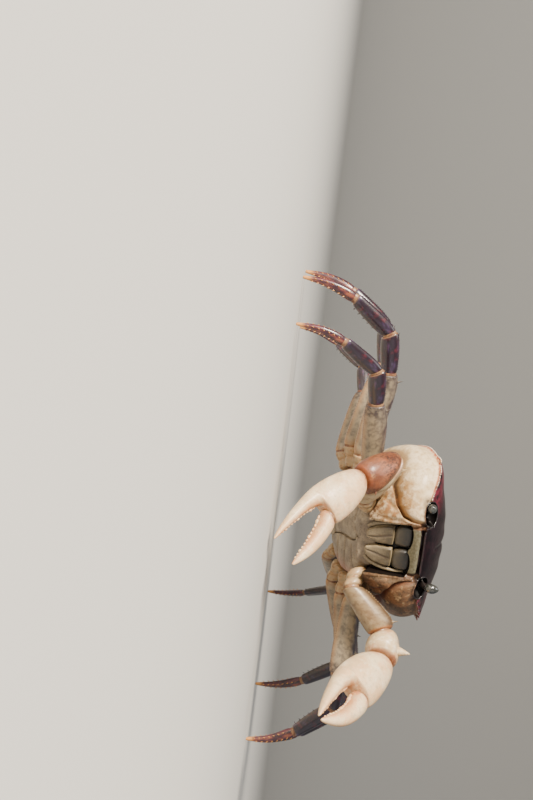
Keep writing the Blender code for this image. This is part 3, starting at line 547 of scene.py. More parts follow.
def paintWrist(name, mottled):
    paint = Paint(name, dampShell, limbPaint)
    along, _, rise = paint.axes("shell")
    cloud = paint.noise(0.22, rough=0.55)
    blotch = paint.noise(0.7)
    worm = paint.noise(1.25, 2.0, 0.4)
    grain = paint.noise(2.4, 3.0)
    if mottled:
        lines = abs(worm - 0.5).ramp(0.07, 0.02) * along.ramp(0.85, 0.5)
        colour = paint.coats(
            "wristMauve", ("wristRust", cloud.ramp(0.35, 0.6) * 0.85),
            ("wristRim", blotch.ramp(0.5, 0.7) * 0.3),
            ("clawPeach", cloud.ramp(0.56, 0.70) * 0.5 * grain.ramp(0.4, 0.6)),
            ("wristSpeck", lines * 0.8),
            ("wristSpeck", grain.ramp(0.56, 0.66) * 0.7 * along.ramp(0.85, 0.4)))
    else:
        colour = paint.coats(
            "wristPale", ("clawWhite", blotch.ramp(0.45, 0.7) * 0.7),
            ("clawOrange", cloud.ramp(0.48, 0.7) * 0.5),
            ("wristRust", rise.ramp(0.5, 1.0) * blotch.ramp(0.45, 0.62) * 0.7))
    colour = paint.coats(colour, ("wristRim", along.ramp(0.90, 0.97) * 0.7 * blotch.ramp(0.3, 0.55)),
                         ("wristSpeck", along.ramp(0.16, 0.0) * (0.6 if mottled else 0.2)))
    height = grain * 0.4 + abs(worm - 0.5).ramp(0.05, 0.0) * -0.3 + blotch * 0.4
    return paint.finish(colour, 0.3 + 0.25 * grain, height, 0.5, 0.0003)


def paintArm(name, orange, shade=0.0):
    # bases and upper parts of the limbs; shade darkens the whole copy as painted shade, for the arm on the crab's
    # left
    paint = Paint(name, dampShell, limbPaint)
    along, _, rise = paint.axes("shell")
    cloud = paint.noise(0.2, rough=0.55)
    blotch = paint.noise(0.6, 5.0, 0.62)
    grain = paint.noise(2.0, 3.0)
    colour = paint.coats(
        "armBeige", ("armPale", cloud.ramp(0.4, 0.65)),
        ("legOrange", orange * blotch.ramp(0.35, 0.65)),
        ("armBrown", blotch.ramp(0.5 - 0.1 * shade, 0.68) * 0.6),
        ("armBrown", rise.ramp(0.45, 1.0) * (0.35 + 0.5 * grain) + 0.35 * shade),
        ("skinOrange", along.ramp(0.93, 0.99) * 0.6))
    return paint.finish(colour, 0.36 + 0.2 * grain, grain * 0.4 + blotch * 0.6, 0.35)


def paintUpperLeg():
    paint = Paint("upperLegShell", dampShell, limbPaint)
    along, _, rise = paint.axes("shell")
    streaks = paint.noise(0.7, stretch=(0.35, 1.0, 1.0))
    blotch = paint.noise(0.5, 5.0, 0.62)
    grain = paint.noise(2.2, 3.0)
    top = rise.ramp(0.30, 0.85) * (0.35 + 0.65 * streaks.ramp(0.35, 0.6))
    far = along.ramp(0.74, 0.98) * (0.4 + 0.6 * blotch.ramp(0.35, 0.6))
    colour = paint.coats(
        "legBeige", ("legGrey", blotch.ramp(0.4, 0.65)),
        ("armPale", streaks.ramp(0.52, 0.7) * 0.5),
        ("legOrange", rise.ramp(-0.45, -0.95) * 0.45 + along.ramp(0.12, 0.0) * 0.35),
        ("legDark", top.most(far) * 0.92),
        ("legViolet", top * grain.ramp(0.5, 0.7) * 0.4))
    return paint.finish(colour, 0.30 + 0.2 * grain, grain * 0.4 + streaks * 0.5, 0.35)


def paintLowerLeg():
    paint = Paint("lowerLegShell", wetShell, limbPaint)
    along, _, rise = paint.axes("shell")
    streaks = paint.noise(0.8, stretch=(0.3, 1.0, 1.0))
    blotch = paint.noise(0.45, 5.0, 0.62)
    grain = paint.noise(2.2, 3.0)
    colour = paint.coats(
        "legDark", ("legBlack", blotch.ramp(0.4, 0.6) * 0.8),
        ("legViolet", streaks.ramp(0.50, 0.72) * 0.6),
        ("tipMaroon", blotch.ramp(0.52, 0.72) * 0.7),
        ("legGrey", rise.ramp(-0.55, -1.0) * 0.35),
        ("legOrange", along.ramp(0.94, 0.99) * 0.35))
    return paint.finish(colour, 0.22 + 0.2 * grain, grain * 0.4 + streaks * 0.6, 0.35)


def paintTip():
    paint = Paint("tipShell", wetShell, limbPaint)
    along, side, _ = paint.axes("shell")
    streaks = paint.noise(0.9, stretch=(0.25, 1.0, 1.0))
    grain = paint.noise(2.4, 3.0)
    colour = paint.coats(
        "tipDark", ("tipMaroon", streaks.ramp(0.38, 0.62)),
        ("skinOrange", abs(side).ramp(0.6, 1.0) * streaks.ramp(0.45, 0.65) * 0.35),
        ("tipHorn", along.ramp(0.80, 0.93)),
        ("tipHorn", grain.ramp(0.62, 0.74) * 0.6))
    return paint.finish(colour, 0.28 + 0.2 * grain, grain * 0.4 + streaks * 0.6, 0.4)


def paintPlain(name, first, second, settings, rough=0.4, scale=0.6, spread=(0.4, 0.65), strength=0.3):
    # two tones in soft blotches, with a fine grain
    paint = Paint(name, settings)
    blotch = paint.noise(scale)
    grain = paint.noise(scale * 4, 3.0)
    return paint.finish(paint.coats(first, (second, blotch.ramp(*spread))), rough + 0.18 * grain,
                        grain * 0.5 + blotch * 0.6, strength)


bellyPaint = {
    "grey": tone(132, 116, 96), "brown": tone(88, 70, 54), "pale": tone(168, 150, 122),
    "pink": tone(188, 128, 114), "line": tone(54, 38, 30),
}


def paintBelly():
    paint = Paint("bellyShell", dampShell, bellyPaint)
    across, ahead, _ = paint.axes("local")
    blotch = paint.noise(0.25, 5.0, 0.62)
    grain = paint.noise(1.8, 4.0, 0.65)
    colour = paint.coats(
        "grey", ("pale", blotch.ramp(0.4, 0.65)),
        ("brown", grain.ramp(0.5, 0.68) * 0.6),
        ("brown", ahead.ramp(4, 12) * 0.5),
        ("pink", abs(across).ramp(10, 15) * 0.5),
        # the seams as dark lines; the tail's trough and the tail's side edges darkened as painted shade
        ("line", paint.read("cavity").ramp(0.3, 1.0) * 0.6))
    return paint.finish(colour, 0.38 + 0.2 * grain, grain * 0.3 + blotch * 0.4, 0.15)


mouthPaint = {
    "dark": tone(26, 24, 20), "olive": tone(70, 60, 42), "grey": tone(126, 110, 84), "pale": tone(196, 176, 140),
    "brown": tone(50, 36, 26),
}


def paintMouth():
    # part is 0 on the upper plates, 0.5 on the lower ones and 1 on the rods beside them
    paint = Paint("mouthShell", {"Coat Weight": 0.35, "Coat Roughness": 0.18, "IOR": 1.5}, mouthPaint)
    down = paint.axes("local")[1]
    edge, part, cavity = (paint.read(name) for name in ("edge", "part", "cavity"))
    blotch = paint.noise(0.5)
    grain = paint.noise(1.8)
    low = paint.coats(
        "olive", ("grey", down.ramp(5.5, 12.0) * 0.7 + blotch.ramp(0.45, 0.7) * 0.4),
        ("brown", grain.ramp(0.50, 0.70) * 0.5),
        # painted shade in the furrow of the lower plates
        ("brown", cavity.ramp(0.2, 0.9) * 0.7),
        ("pale", edge.ramp(0.3, 0.95) * 0.7))
    rod = paint.coats("grey", ("pale", grain.ramp(0.42, 0.66) * 0.35 + down.ramp(6.0, 1.5) * 0.35))
    colour = paint.coats(
        "dark", ("olive", down.ramp(1.0, 4.4) * (0.45 + 0.5 * blotch.ramp(0.3, 0.6))),
        ("brown", grain.ramp(0.5, 0.66) * 0.5),
        ("olive", edge.ramp(0.6, 0.95) * 0.5),
        (low, part.ramp(0.1, 0.4)), (rod, part.ramp(0.6, 0.9)))
    rough = 0.22 + 0.2 * grain + part.ramp(0.3, 0.0) * 0.14
    return paint.finish(colour, rough, grain * 0.5 + blotch * 0.7, 0.45, 0.00025)


backMaterial = paintBack()
clawMaterial = paintClaw()
mottledMaterial = paintWrist("mottledWristShell", True)
paleMaterial = paintWrist("paleWristShell", False)
armMaterial = paintArm("armShell", 0.25)
# a darker copy for the arm on the crab's left: painted shade
shadedArmMaterial = paintArm("shadedArmShell", 0.25, 1.0)
baseMaterial = paintArm("legBaseShell", 0.6)
upperMaterial = paintUpperLeg()
lowerMaterial = paintLowerLeg()
tipMaterial = paintTip()
bellyMaterial = paintBelly()
rimMaterial = paintRim()
mouthMaterial = paintMouth()
beadMaterial = paintBeads()
skinMaterial = paintPlain("jointSkin", tone(150, 112, 76), tone(108, 66, 44), dampShell, 0.42)
darkTrimMaterial = paintPlain("darkTrim", tone(22, 13, 15), tone(48, 22, 26), dampShell, 0.3, 0.7)
stalkMaterial = paintPlain("eyeStalk", tone(46, 38, 36), tone(22, 17, 18), wetShell, 0.2, 0.9)
eyeMaterial = paintPlain("eyeGlass", tone(40, 40, 37), tone(66, 66, 62), {"Coat Weight": 1.0,
                         "Coat Roughness": 0.03, "IOR": 1.55}, 0.06, 0.5, (0.30, 0.8), 0.03)
# the feelers near black: painted shade of the orbit's hollow, where they sit
feelerMaterial = paintPlain("feelerShell", tone(30, 22, 20), tone(16, 12, 12), dampShell, 0.35, 0.8)
print("materials made")


# the shell
shell = {
    "halfWidth": 27.0, "widestAt": 3.0, "frontReach": 17.5, "frontPower": 2.4,
    "rearReach": 27.0, "rearPower": 1.75, "rearCut": 24.5, "cutPower": 14,
    "domeHeight": 7.3, "domeCentre": -1.0, "domePower": 2.6, "frontFall": 0.28,
    "frontDrop": 4.6, "dropFrom": 9.0, "dropPower": 1.6,          # the front is bent down
    "sideLift": 1.6, "liftFrom": 15.5, "liftRun": 9.0,            # and the side margins rise
    "flankDepth": 14.5, "flankInset": 0.9, "flankCurve": (3.4, 2.0, 1.9),
    "cheekDrop": 5.8,                                            # how much lower the flank hangs beside the mouth
    "footHalf": 20.5, "footReach": (15.5, 16.2), "footCentre": -2.0, "footPower": 2.4,
    "toothTips": (16.9, 20.4, 23.4, 25.6), "toothReach": (0.75, 1.0, 1.2, 1.5), "toothLean": (0.25, 0.97),
    "toothRun": 2.7, "toothFace": 0.75,
    "frontHalf": 8.2, "frontDip": 0.7,
    "orbitCentre": 12.1, "orbitHalf": 4.0, "orbitHeight": 2.75, "orbitFloor": 14.4, "orbitLevel": -2.6,
    "orbitNotch": 2.4, "orbitTurn": 20.0, "orbitDepth": 5.2, "orbitForward": 19.4,
    "segments": 560, "rings": 150, "flankShare": 0.86, "crowding": 0.45,   # more points towards the face
    # grooves of the back as lines of (outward, forward), with width and depth
    "grooves": (
        (((1.6, 0.2), (4.4, 1.4), (6.2, 4.2), (9.6, 7.0), (14.5, 8.6), (19.5, 8.8)), 0.85, 0.26),
        (((4.4, 1.4), (3.6, -2.2), (4.6, -6.4), (6.8, -9.4), (7.2, -13.0)), 0.8, 0.36),
        (((0.0, -2.9), (3.7, -2.3)), 0.9, 0.26),
        (((0.0, 17.0), (0.0, 12.6), (0.6, 10.2), (1.6, 8.6)), 0.6, 0.30),
        (((4.6, -6.4), (9.5, -7.6), (15.5, -6.4)), 1.0, 0.22),
    ),
    "swells": (((9.5, 0.5), 6.0, 0.45), ((13.5, -9.0), 7.0, 0.35), ((2.8, 11.8), 2.0, 0.30),
               ((0.0, -6.5), 3.0, 0.30), ((8.5, 12.6), 2.4, 0.28)),
    # the fold between the two puffed lobes of the flank, as (outward, up), with width and depth
    "crease": ((9.2, -5.6), (9.6, -8.2), (10.8, -10.6), (13.7, -12.2), (18.8, -12.2), (23.4, -9.6), (28.0, -5.5)),
    "creaseWidth": 0.74, "creaseDepth": 1.35, "upperPuff": 1.45, "lowerPuff": 1.0,
    # forms of the face as lines of (outward, up), with width and depth; a negative depth is a ridge
    "features": (
        (((0.0, -4.9), (6.8, -4.9)), 0.48, 1.3),                # gap that holds the small feelers, made dark as painted shade
        (((0.0, -6.3), (6.3, -6.15)), 0.75, -0.45),              # pale lip over the mouth
        (((8.8, -6.4), (9.2, -9.0), (10.5, -11.6), (13.4, -13.3), (17.5, -13.5)), 0.6, -0.75),
        (((7.6, -4.4), (7.9, -6.2), (7.7, -7.8)), 0.45, 0.8),
        (((8.7, -9.5), (8.6, -12.5), (8.6, -15.0), (9.2, -19.0)), 0.5, -0.45),
        (((8.3, -3.6), (8.6, -5.4)), 0.5, 0.7),
        (((12.4, -13.6), (14.6, -15.6), (15.6, -17.4)), 0.6, 0.45),
        (((11.2, -13.8), (10.8, -17.5)), 1.7, -0.55),
    ),
}


def take(plan, names):
    return [plan[name] for name in names.split()]


def lineDistance(across, ahead, line):
    # distance of many points from a broken line
    best = np.full(across.shape, 1e9)
    for (x0, y0), (x1, y1) in zip(line, line[1:]):
        runX, runY = x1 - x0, y1 - y0
        share = clamp(((across - x0) * runX + (ahead - y0) * runY) / (runX ** 2 + runY ** 2))
        best = np.minimum(best, np.hypot(across - x0 - runX * share, ahead - y0 - runY * share))
    return best


def nearLine(across, ahead, line, width):
    return np.exp(-(lineDistance(across, ahead, line) / width) ** 2)


def frontDrop(forward):
    reach = shell["widestAt"] + shell["frontReach"] - shell["dropFrom"]
    return shell["frontDrop"] * clamp((forward - shell["dropFrom"]) / reach) ** shell["dropPower"]


def sideLift(across, forward):
    share = clamp((across - shell["liftFrom"]) / shell["liftRun"]) * clamp((forward + 10) / 12)
    return shell["sideLift"] * share * share * (3 - 2 * share)


def marginLine(turn):
    # the shell's smooth outline and its toothed one, for turns round the trunk from -X to +X
    halfWidth, widestAt, frontReach, frontPower = take(shell, "halfWidth widestAt frontReach frontPower")
    cos, sin = np.cos(turn), np.sin(turn)
    ahead = sin >= 0
    power = np.where(ahead, frontPower, shell["rearPower"])
    across = halfWidth * np.abs(cos) ** (2 / power)
    rise = np.abs(sin) ** (2 / power)
    rear = shell["rearReach"] * rise
    rear = rear * (1 + (rear / shell["rearCut"]) ** shell["cutPower"]) ** (-1 / shell["cutPower"])
    forward = widestAt + np.where(ahead, frontReach * rise, -rear)
    edgeX, edgeF = across.copy(), forward.copy()

    # front lobes and the orbit's notch
    inFront = ahead & (across < shell["frontHalf"])
    edgeF -= np.where(inFront, shell["frontDip"] * np.cos(across / shell["frontHalf"] * math.pi / 2) ** 2, 0)
    share = clamp((across - shell["orbitCentre"]) / shell["orbitHalf"] / 2 + 0.5)
    edgeF -= np.where(ahead, shell["orbitNotch"] * np.sin(math.pi * share) ** 0.6, 0)

    # teeth
    outward = np.stack([across / halfWidth ** 2, (forward - widestAt) / frontReach ** 2], 1)
    outward /= np.maximum(np.linalg.norm(outward, axis=1, keepdims=True), 1e-9)
    leanX, leanF = shell["toothLean"]
    for tip, reach in zip(shell["toothTips"], shell["toothReach"]):
        tipF = widestAt + frontReach * (1 - (tip / halfWidth) ** frontPower) ** (1 / frontPower)
        distance = np.hypot(across - tip, forward - tipF) * np.where(forward < tipF, 1, -1)
        rise = np.where(distance < 0, 1 + distance / shell["toothFace"], 1 - distance / shell["toothRun"])
        rise = clamp(rise) ** 1.1 * ahead
        edgeX += rise * reach * 0.6 * (outward[:, 0] + leanX)
        edgeF += rise * reach * 0.6 * (outward[:, 1] + leanF)
    return np.where(cos >= 0, 1.0, -1.0), across, forward, edgeX, edgeF


def footLine(turn):
    cos, sin, power = np.cos(turn), np.sin(turn), shell["footPower"]
    reach = np.where(sin > 0, shell["footReach"][0], shell["footReach"][1])
    radius = (np.abs(cos / shell["footHalf"]) ** power + np.abs(sin / reach) ** power) ** (-1 / power)
    return radius * cos, shell["footCentre"] + radius * sin


def shapeShell(turn, level):
    # level 1 is the middle of the back, 0 the margin, -flankShare the foot of the flank, -1 underneath
    halfWidth, widestAt, domeCentre, flankShare = take(shell, "halfWidth widestAt domeCentre flankShare")
    side, across, forward, edgeX, edgeF = marginLine(turn + shell["crowding"] * np.cos(turn))
    share = clamp(1 - level) ** 0.9
    toothed = clamp((share - 0.93) / 0.07) ** 1.5
    domeX = (across + (edgeX - across) * toothed) * share
    domeF = domeCentre + (forward + (edgeF - forward) * toothed - domeCentre) * share
    frontness = clamp((forward - widestAt) / shell["frontReach"])
    domeUp = shell["domeHeight"] * np.maximum(1 - share ** shell["domePower"], 0) ** (
        1 - shell["frontFall"] * frontness ** 3) - frontDrop(domeF) + sideLift(domeX, domeF)

    # the flank, from the margin in to the foot
    depth = clamp(-level / flankShare)
    angle = np.arctan2(forward - widestAt, across)
    atSide, inFront, behind = shell["flankCurve"]
    power = atSide - inFront * np.maximum(0, np.sin(angle)) - behind * np.maximum(0, -np.sin(angle))
    inset = 1 - shell["flankInset"] / halfWidth
    near = clamp(1 - depth / 0.08) ** 2
    topX = across * inset + (edgeX - across * inset) * near
    topF = forward * inset + (edgeF - forward * inset) * near
    footX, footF = footLine(angle)
    blend = depth ** power
    under = clamp((-level - flankShare) / (1 - flankShare))
    flankX = (topX + (footX - topX) * blend) * (1 - under)
    flankF = topF + (footF - topF) * blend
    flankF = flankF + (shell["footCentre"] - flankF) * under
    nearMouth = 0.6 * clamp((angle - 0.45) / 0.5) + 0.4 * clamp((angle - 0.7) / 0.25)
    cheek = shell["cheekDrop"] * nearMouth * depth ** 3 * (1 - under) ** 6
    marginUp = sideLift(topX, topF) - frontDrop(topF)
    flankUp = -shell["flankDepth"] * depth + marginUp * (1 - depth) - cheek

    onDome = level >= 0
    x = np.where(onDome, domeX, flankX)
    f = np.where(onDome, domeF, flankF)
    up = np.where(onDome, domeUp, flankUp)

    # relief of the back
    # cavity: how deep a point lies in a groove of the back, a crease of the flank or a hollow of the face; the
    # paint darkens it as painted shade
    cavity = np.zeros_like(x)
    fade = clamp((1 - share) / 0.10) * onDome
    for line, width, deep in shell["grooves"]:
        hollow = nearLine(x, f, line, width) * fade
        up -= deep * hollow
        cavity = np.maximum(cavity, hollow * deep / 0.55)
    for (swellX, swellF), width, high in shell["swells"]:
        up += high * np.exp(-(np.hypot(x - swellX, f - swellF) / width) ** 2) * fade

    # lobes of the flank and forms of the face, pushed out along the flank's own outward way
    outX, outF = x / 30, (f - shell["footCentre"]) / 24
    norm = np.maximum(np.hypot(outX, outF), 1e-6)
    onFlank = (~onDome) & (under <= 0)
    beside = clamp((x - 8.6) / 1.6) * clamp((angle + 0.75) / 0.6) * onFlank
    creaseUp = np.interp(x, *zip(*shell["crease"]))
    hollow = nearLine(x, up, shell["crease"], shell["creaseWidth"])
    hollow *= np.clip((32 - x) / 12, 0.25, 1) * beside
    above = clamp((up - creaseUp) / np.maximum(marginUp - creaseUp, 0.5))
    below = clamp((creaseUp - up) / (creaseUp + 17.0))
    moved = shell["upperPuff"] * np.sin(math.pi * above ** 0.75) ** 0.8 * beside
    moved += shell["lowerPuff"] * np.sin(math.pi * below) * beside * clamp((22 - x) / 8)
    moved -= shell["creaseDepth"] * hollow
    cavity = np.maximum(cavity, hollow)
    inFace = onFlank * clamp((angle - 0.6) / 0.1)
    for line, width, deep in shell["features"]:
        form = nearLine(x, up, line, width) * inFace
        moved -= deep * form
        if deep > 0:
            cavity = np.maximum(cavity, form * min(1, deep))
    x += outX / norm * moved
    f += outF / norm * moved
    fromMargin = np.where(onDome, (1 - share) * 22, -depth * shell["flankDepth"])
    return np.stack([x * side, -f, up], 1), {"cavity": cavity, "rim": fromMargin}


body = sculptSphere("carapace", shell["segments"], shell["rings"], shapeShell)

mouth = {
    "top": (15.5, -7.0), "bottom": (8.7, -18.1), "half": 8.5,     # forward and up of the mouth's plane
    "archHalf": 4.0, "archCentre": (4.3, 0.43), "archHigh": 1.5,  # two low arches with a tooth between them
}


def mouthPlace():
    top = outForUp(0, *mouth["top"])
    down = (outForUp(0, *mouth["bottom"]) - top).normalized()
    out = down.cross(Vector((1, 0, 0)))
    return Matrix.Translation(top) @ Matrix((Vector((1, 0, 0)), down, out)).transposed().to_4x4()


def orbitPlace(side):
    # middle, turn and half sizes of the ellipsoid that hollows an orbit
    return (outForUp(side * (shell["orbitCentre"] + 0.2), shell["orbitForward"], shell["orbitLevel"]),
            side * math.radians(shell["orbitTurn"]),
            (shell["orbitHalf"], shell["orbitDepth"], shell["orbitHeight"]))


def orbitRim(side):
    # points where the eye socket's ellipsoid leaves the uncut shell, found by looking back at the face
    centre, turn, reach = orbitPlace(side)
    turn, reach = Matrix.Rotation(turn, 3, "Z").transposed(), Vector(reach)
    points = []
    for k in range(40):
        angle = 2 * math.pi * k / 40
        low, high, found = 0.2, 1.3, None
        for _ in range(14):
            middle = (low + high) / 2
            x = centre.x + side * reach.x * middle * math.cos(angle)
            z = centre.z + reach.z * middle * math.sin(angle)
            hit, place, _, _ = body.ray_cast(Vector((x, -40, z)), Vector((0, 1, 0)))
            local = turn @ (place - centre)
            inside = hit and sum((local[i] / reach[i]) ** 2 for i in range(3)) < 1
            low, high = (middle, high) if inside else (low, middle)
            found = place if inside else found
        if found is not None:
            points.append(found.copy())
    return points


def cutWith(piece, cutter):
    modify(piece, "BOOLEAN", operation="DIFFERENCE", object=cutter, solver="EXACT")
    removePieces(cutter)


def cutOrbit(side):
    centre, turn, reach = orbitPlace(side)
    clearSelection()
    bpy.ops.mesh.primitive_uv_sphere_add(segments=48, ring_count=32, radius=1, rotation=(0, 0, turn),
                                         location=centre)
    cutWith(body, settle("orbitCutter", reach))


def cutMouth(piece, arched):
    # a slab below the two arches
    (across, down), high = mouth["archCentre"], mouth["archHigh"]
    clearSelection()
    bpy.ops.mesh.primitive_cube_add(size=1, location=(0, 11.0, 6.0))
    cutters = [settle("mouthCutter", (mouth["half"] * 2, 22.0, 12.0))]
    for side in (-1, 1) if arched else ():
        clearSelection()
        bpy.ops.mesh.primitive_cylinder_add(vertices=48, radius=1, depth=13, location=(side * across, down, 6.8))
        cutters.append(settle("archCutter", (mouth["archHalf"], high, 1)))
    for cutter in cutters:
        moveMesh(cutter, mouthPlace())
        cutWith(piece, cutter)


def markHollowShade():
    # the insides of the orbits and of the mouth's frame are told by place and painted near black as painted shade
    points = readPoints(body)
    dark = np.zeros(len(points))
    for side in sides.values():
        centre, turn, reach = orbitPlace(side)
        inside = (points - np.array(centre)) @ np.array(Matrix.Rotation(turn, 3, "Z")) / reach
        dark = np.maximum(dark, ((inside ** 2).sum(1) < 1.03) * 1.0)
    toMouth = np.array(mouthPlace().inverted())
    across, down, out = (points @ toMouth[:3, :3].T + toMouth[:3, 3]).T
    across = np.abs(across)
    slab = (across < mouth["half"] + 0.04) & (down > -0.04) & (out > -0.04)
    archX, archDown = mouth["archCentre"]
    arch = ((across - archX) / mouth["archHalf"]) ** 2 + ((down - archDown) / mouth["archHigh"]) ** 2 < 1.05
    dark = np.maximum(dark, (slab | (arch & (out > 0))) * 0.75)
    rim = np.empty(len(points))
    body.data.attributes["rim"].data.foreach_get("value", rim)
    storePaint(body, socket=dark, rim=np.where(dark > 0, -5.0, rim))


rimPoints = [orbitRim(side) for side in sides.values()]
for side in sides.values():
    cutOrbit(side)
cutMouth(body, True)
markHollowShade()
body.data.shade_smooth()
shadeByAngle(body, 42)
markLocal(body)
keep(body, "carapace", backMaterial, trunkPlace)
print("shell made")


# small forms that repeat
def drawBead():
    # one low grain, 1 across
    clearSelection()
    bpy.ops.mesh.primitive_ico_sphere_add(subdivisions=2, radius=0.5, enter_editmode=True)
    bpy.ops.transform.resize(value=(1.0, 1.0, 0.8))
    clearSelection()
    piece = nameIt("beadMaster")
    piece.data.shade_smooth()
    return piece


beadMaster = drawBead()
# a curved thorn, 1 long, pointing along +X and bending up
spineMaster = drawTube("spineMaster", 8, [(-0.12, 0, 0.24, 0.24), (0.1, 0, 0.22, 0.22), (0.4, 0.02, 0.15, 0.15),
                                          (0.72, 0.07, 0.08, 0.08), (0.94, 0.13, 0.03, 0.03),
                                          (1.0, 0.15, 0.012, 0.012)], levels=1)

marginBeads = {"spacing": 0.50, "size": 0.33, "from": 16.4, "rearEnd": -8.0, "fadeFrom": 3.0, "fadeRun": 16.0}


def makeMarginBeads():
    beads, walked, last = [], 0.0, None
    _, across, _, edgeX, edgeF = marginLine(np.linspace(math.pi / 2, -math.pi / 2, 1200))
    for x, f, smoothX in zip(edgeX, edgeF, across):
        if last:
            walked += float(np.hypot(x - last[0], f - last[1]))
        last = (x, f)
        if smoothX < marginBeads["from"] or f < marginBeads["rearEnd"] or walked < marginBeads["spacing"]:
            continue
        walked = 0.0
        fade = min(1.0, max(0.35, 1 - (marginBeads["fadeFrom"] - f) / marginBeads["fadeRun"]))
        size = marginBeads["size"] * fade * (0.6 + 0.8 * abs(math.sin(len(beads) * 2.4)))
        up = 0.01 - float(frontDrop(f)) + float(sideLift(x, f))
        for side in sides.values():
            beads.append(copyPiece(beadMaster, "bead", aim(outForUp(side * x, f, up), outForUp(side, 0.2, 0),
                                                           skyward, size)))
    beads = joinPieces(beads, "marginBeads")
    markLocal(beads)
    keep(beads, "marginBeads", beadMaterial, trunkPlace)


makeMarginBeads()

# the face
face = {
    "rimWidth": 0.19, "lipSpan": 0.20, "lipHalf": 8.0, "lipWidth": 0.3,
    "eyeProfile": ((0.00, 0.95), (0.20, 0.82), (0.38, 0.85), (0.47, 1.05), (0.56, 1.35), (0.70, 1.62),
                   (0.84, 1.45), (0.94, 0.9), (1.0, 0.2)),
    "stalkEnd": 0.50, "eyeInset": 1.0, "gap": 0.3,
    # way of the stalk as outward, forward and up, its length, and how far it sags
    "eyes": {"right": ((0.60, 0.79, -0.08), 6.6, 0.0), "left": ((0.19, 0.70, 0.69), 7.6, -0.9)},
}


def makeRims():
    # raised lip round each orbit, dark above and pale below
    rims = []
    for points in rimPoints:
        widths = [face["rimWidth"] * (0.7 + 0.5 * abs(math.sin(1.9 * k))) for k in range(len(points))]
        rims.append(drawRibbon("rim", points, widths, closed=True))
    rims = joinPieces(rims, "orbitRims")
    markLocal(rims)
    faceOut(rims)
    keep(rims, "orbitRims", rimMaterial, trunkPlace)


def makeEye(name, side, way, length, sag):
    # stalk and cornea drawn along X, then laid along the stalk's own sagging line
    eye = drawTube("eye", 20, [(share * length, 0, radius, radius) for share, radius in face["eyeProfile"]])
    root = outForUp(side * (shell["orbitCentre"] - face["eyeInset"]), shell["orbitFloor"] + face["gap"],
                    shell["orbitLevel"])
    along = outForUp(side * way[0], way[1], way[2]).normalized()
    up = (skyward - along * along.z).normalized()
    points = readPoints(eye)
    lens = [np.mean(points[list(polygon.vertices), 0]) > face["stalkEnd"] * length
            for polygon in eye.data.polygons]
    arch = sag * np.sin(math.pi * clamp(points[:, :1] / length))
    writePoints(eye, np.array(root) + points[:, :1] * np.array(along)
                + points[:, 1:2] * np.array(along.cross(up)) + (points[:, 2:] + arch) * np.array(up))
    faceOut(eye)
    keep(eye, name, stalkMaterial, trunkPlace)
    eye.data.materials.append(eyeMaterial)
    eye.data.polygons.foreach_set("material_index", np.array(lens, dtype=np.int32))


makeRims()
for sideName, (way, length, sag) in face["eyes"].items():
    makeEye("eye_" + sideName, sides[sideName], way, length, sag)

# the outer mouth limbs, in millimetres across and down the mouth's plane and out from it
mouthParts = {
    "merus": {"span": (-1.25, 5.0), "inner": ((0, 0.45), (0.35, 0.2), (1, 0.3)), "part": 0.0, "bulge": 0.35,
              "outer": ((0, 6.9), (0.3, 7.5), (0.65, 7.5), (1, 6.8)), "high": 1.75, "soft": 1.35, "round": 0.66,
              "furrow": 0.0},
    "ischium": {"span": (4.7, 13.4), "inner": ((0, 0.22), (0.6, 0.32), (1, 1.5)), "part": 0.5, "bulge": 0.55,
                "outer": ((0, 6.9), (0.25, 6.8), (0.65, 5.9), (1, 3.8)), "high": 2.1, "soft": 0.8, "round": 0.26,
                "furrow": 0.26},
}
mouthRod = {
    "path": ((4.9, 13.2, 0.5), (5.9, 12.0, 0.9), (6.8, 9.8, 1.1), (7.4, 7.2, 1.2), (7.7, 4.6, 1.1),
             (7.8, 2.4, 0.9), (7.6, 0.9, 0.5)),
    "widths": (0.5, 0.62, 0.6, 0.56, 0.5, 0.42, 0.25),
}
plateEdge, plateWall = 0.8, 0.6                                  # height of a plate's edge, and its thickness


def makeMouthPlate(plan, side):
    # a rounded cushion of shell in the mouth's own plane
    (start, end), bend = plan["span"], plan["round"]

    def shape(u, v):
        a, b = u * 2 - 1, v * 2 - 1
        share = (b * np.sqrt(1 - bend * a * a / 2) + 1) / 2
        reach = (a * np.sqrt(1 - bend * b * b / 2) + 1) / 2
        inner = np.interp(share, *zip(*plan["inner"]))
        outer = np.interp(share, *zip(*plan["outer"]))
        rim = np.minimum((1 - np.abs(a)) * (outer - inner) / 2, (1 - np.abs(b)) * (end - start) / 2)
        crown = 1 - clamp(1 - rim / plan["soft"]) ** 2.6
        # the furrow's mark is darkened by the paint as painted shade
        furrow = np.exp(-((a + 0.15 + 0.25 * b) / 0.13) ** 2) * clamp((1 - np.abs(b)) / 0.25)
        high = plateEdge + (plan["high"] - plateEdge) * crown + plan["bulge"] * (1 - a * a) * (1 - b * b)
        return (np.stack([side * (inner + (outer - inner) * reach), start + (end - start) * share,
                          high - plan["furrow"] * furrow], 1),
                {"edge": clamp(1 - rim / 0.75), "cavity": furrow * (plan["furrow"] > 0), "part": plan["part"]})

    return sculptPlate("plate", 36, 48, shape, plateWall, -side)


def makeMouthLimb(name, side):
    plates = [makeMouthPlate(plan, side) for plan in mouthParts.values()]
    rod = drawRibbon("exopod", [(side * x, down, out) for x, down, out in mouthRod["path"]], mouthRod["widths"])
    storePaint(rod, edge=0.0, cavity=0.0, part=1.0)
    limb = joinPieces([*plates, rod], name)
    markLocal(limb, 1)
    keep(limb, name, mouthMaterial, trunkPlace @ mouthPlace())
    faceOut(limb)


for sideName, side in sides.items():
    makeMouthLimb("maxilliped_" + sideName, side)
print("mouth made")

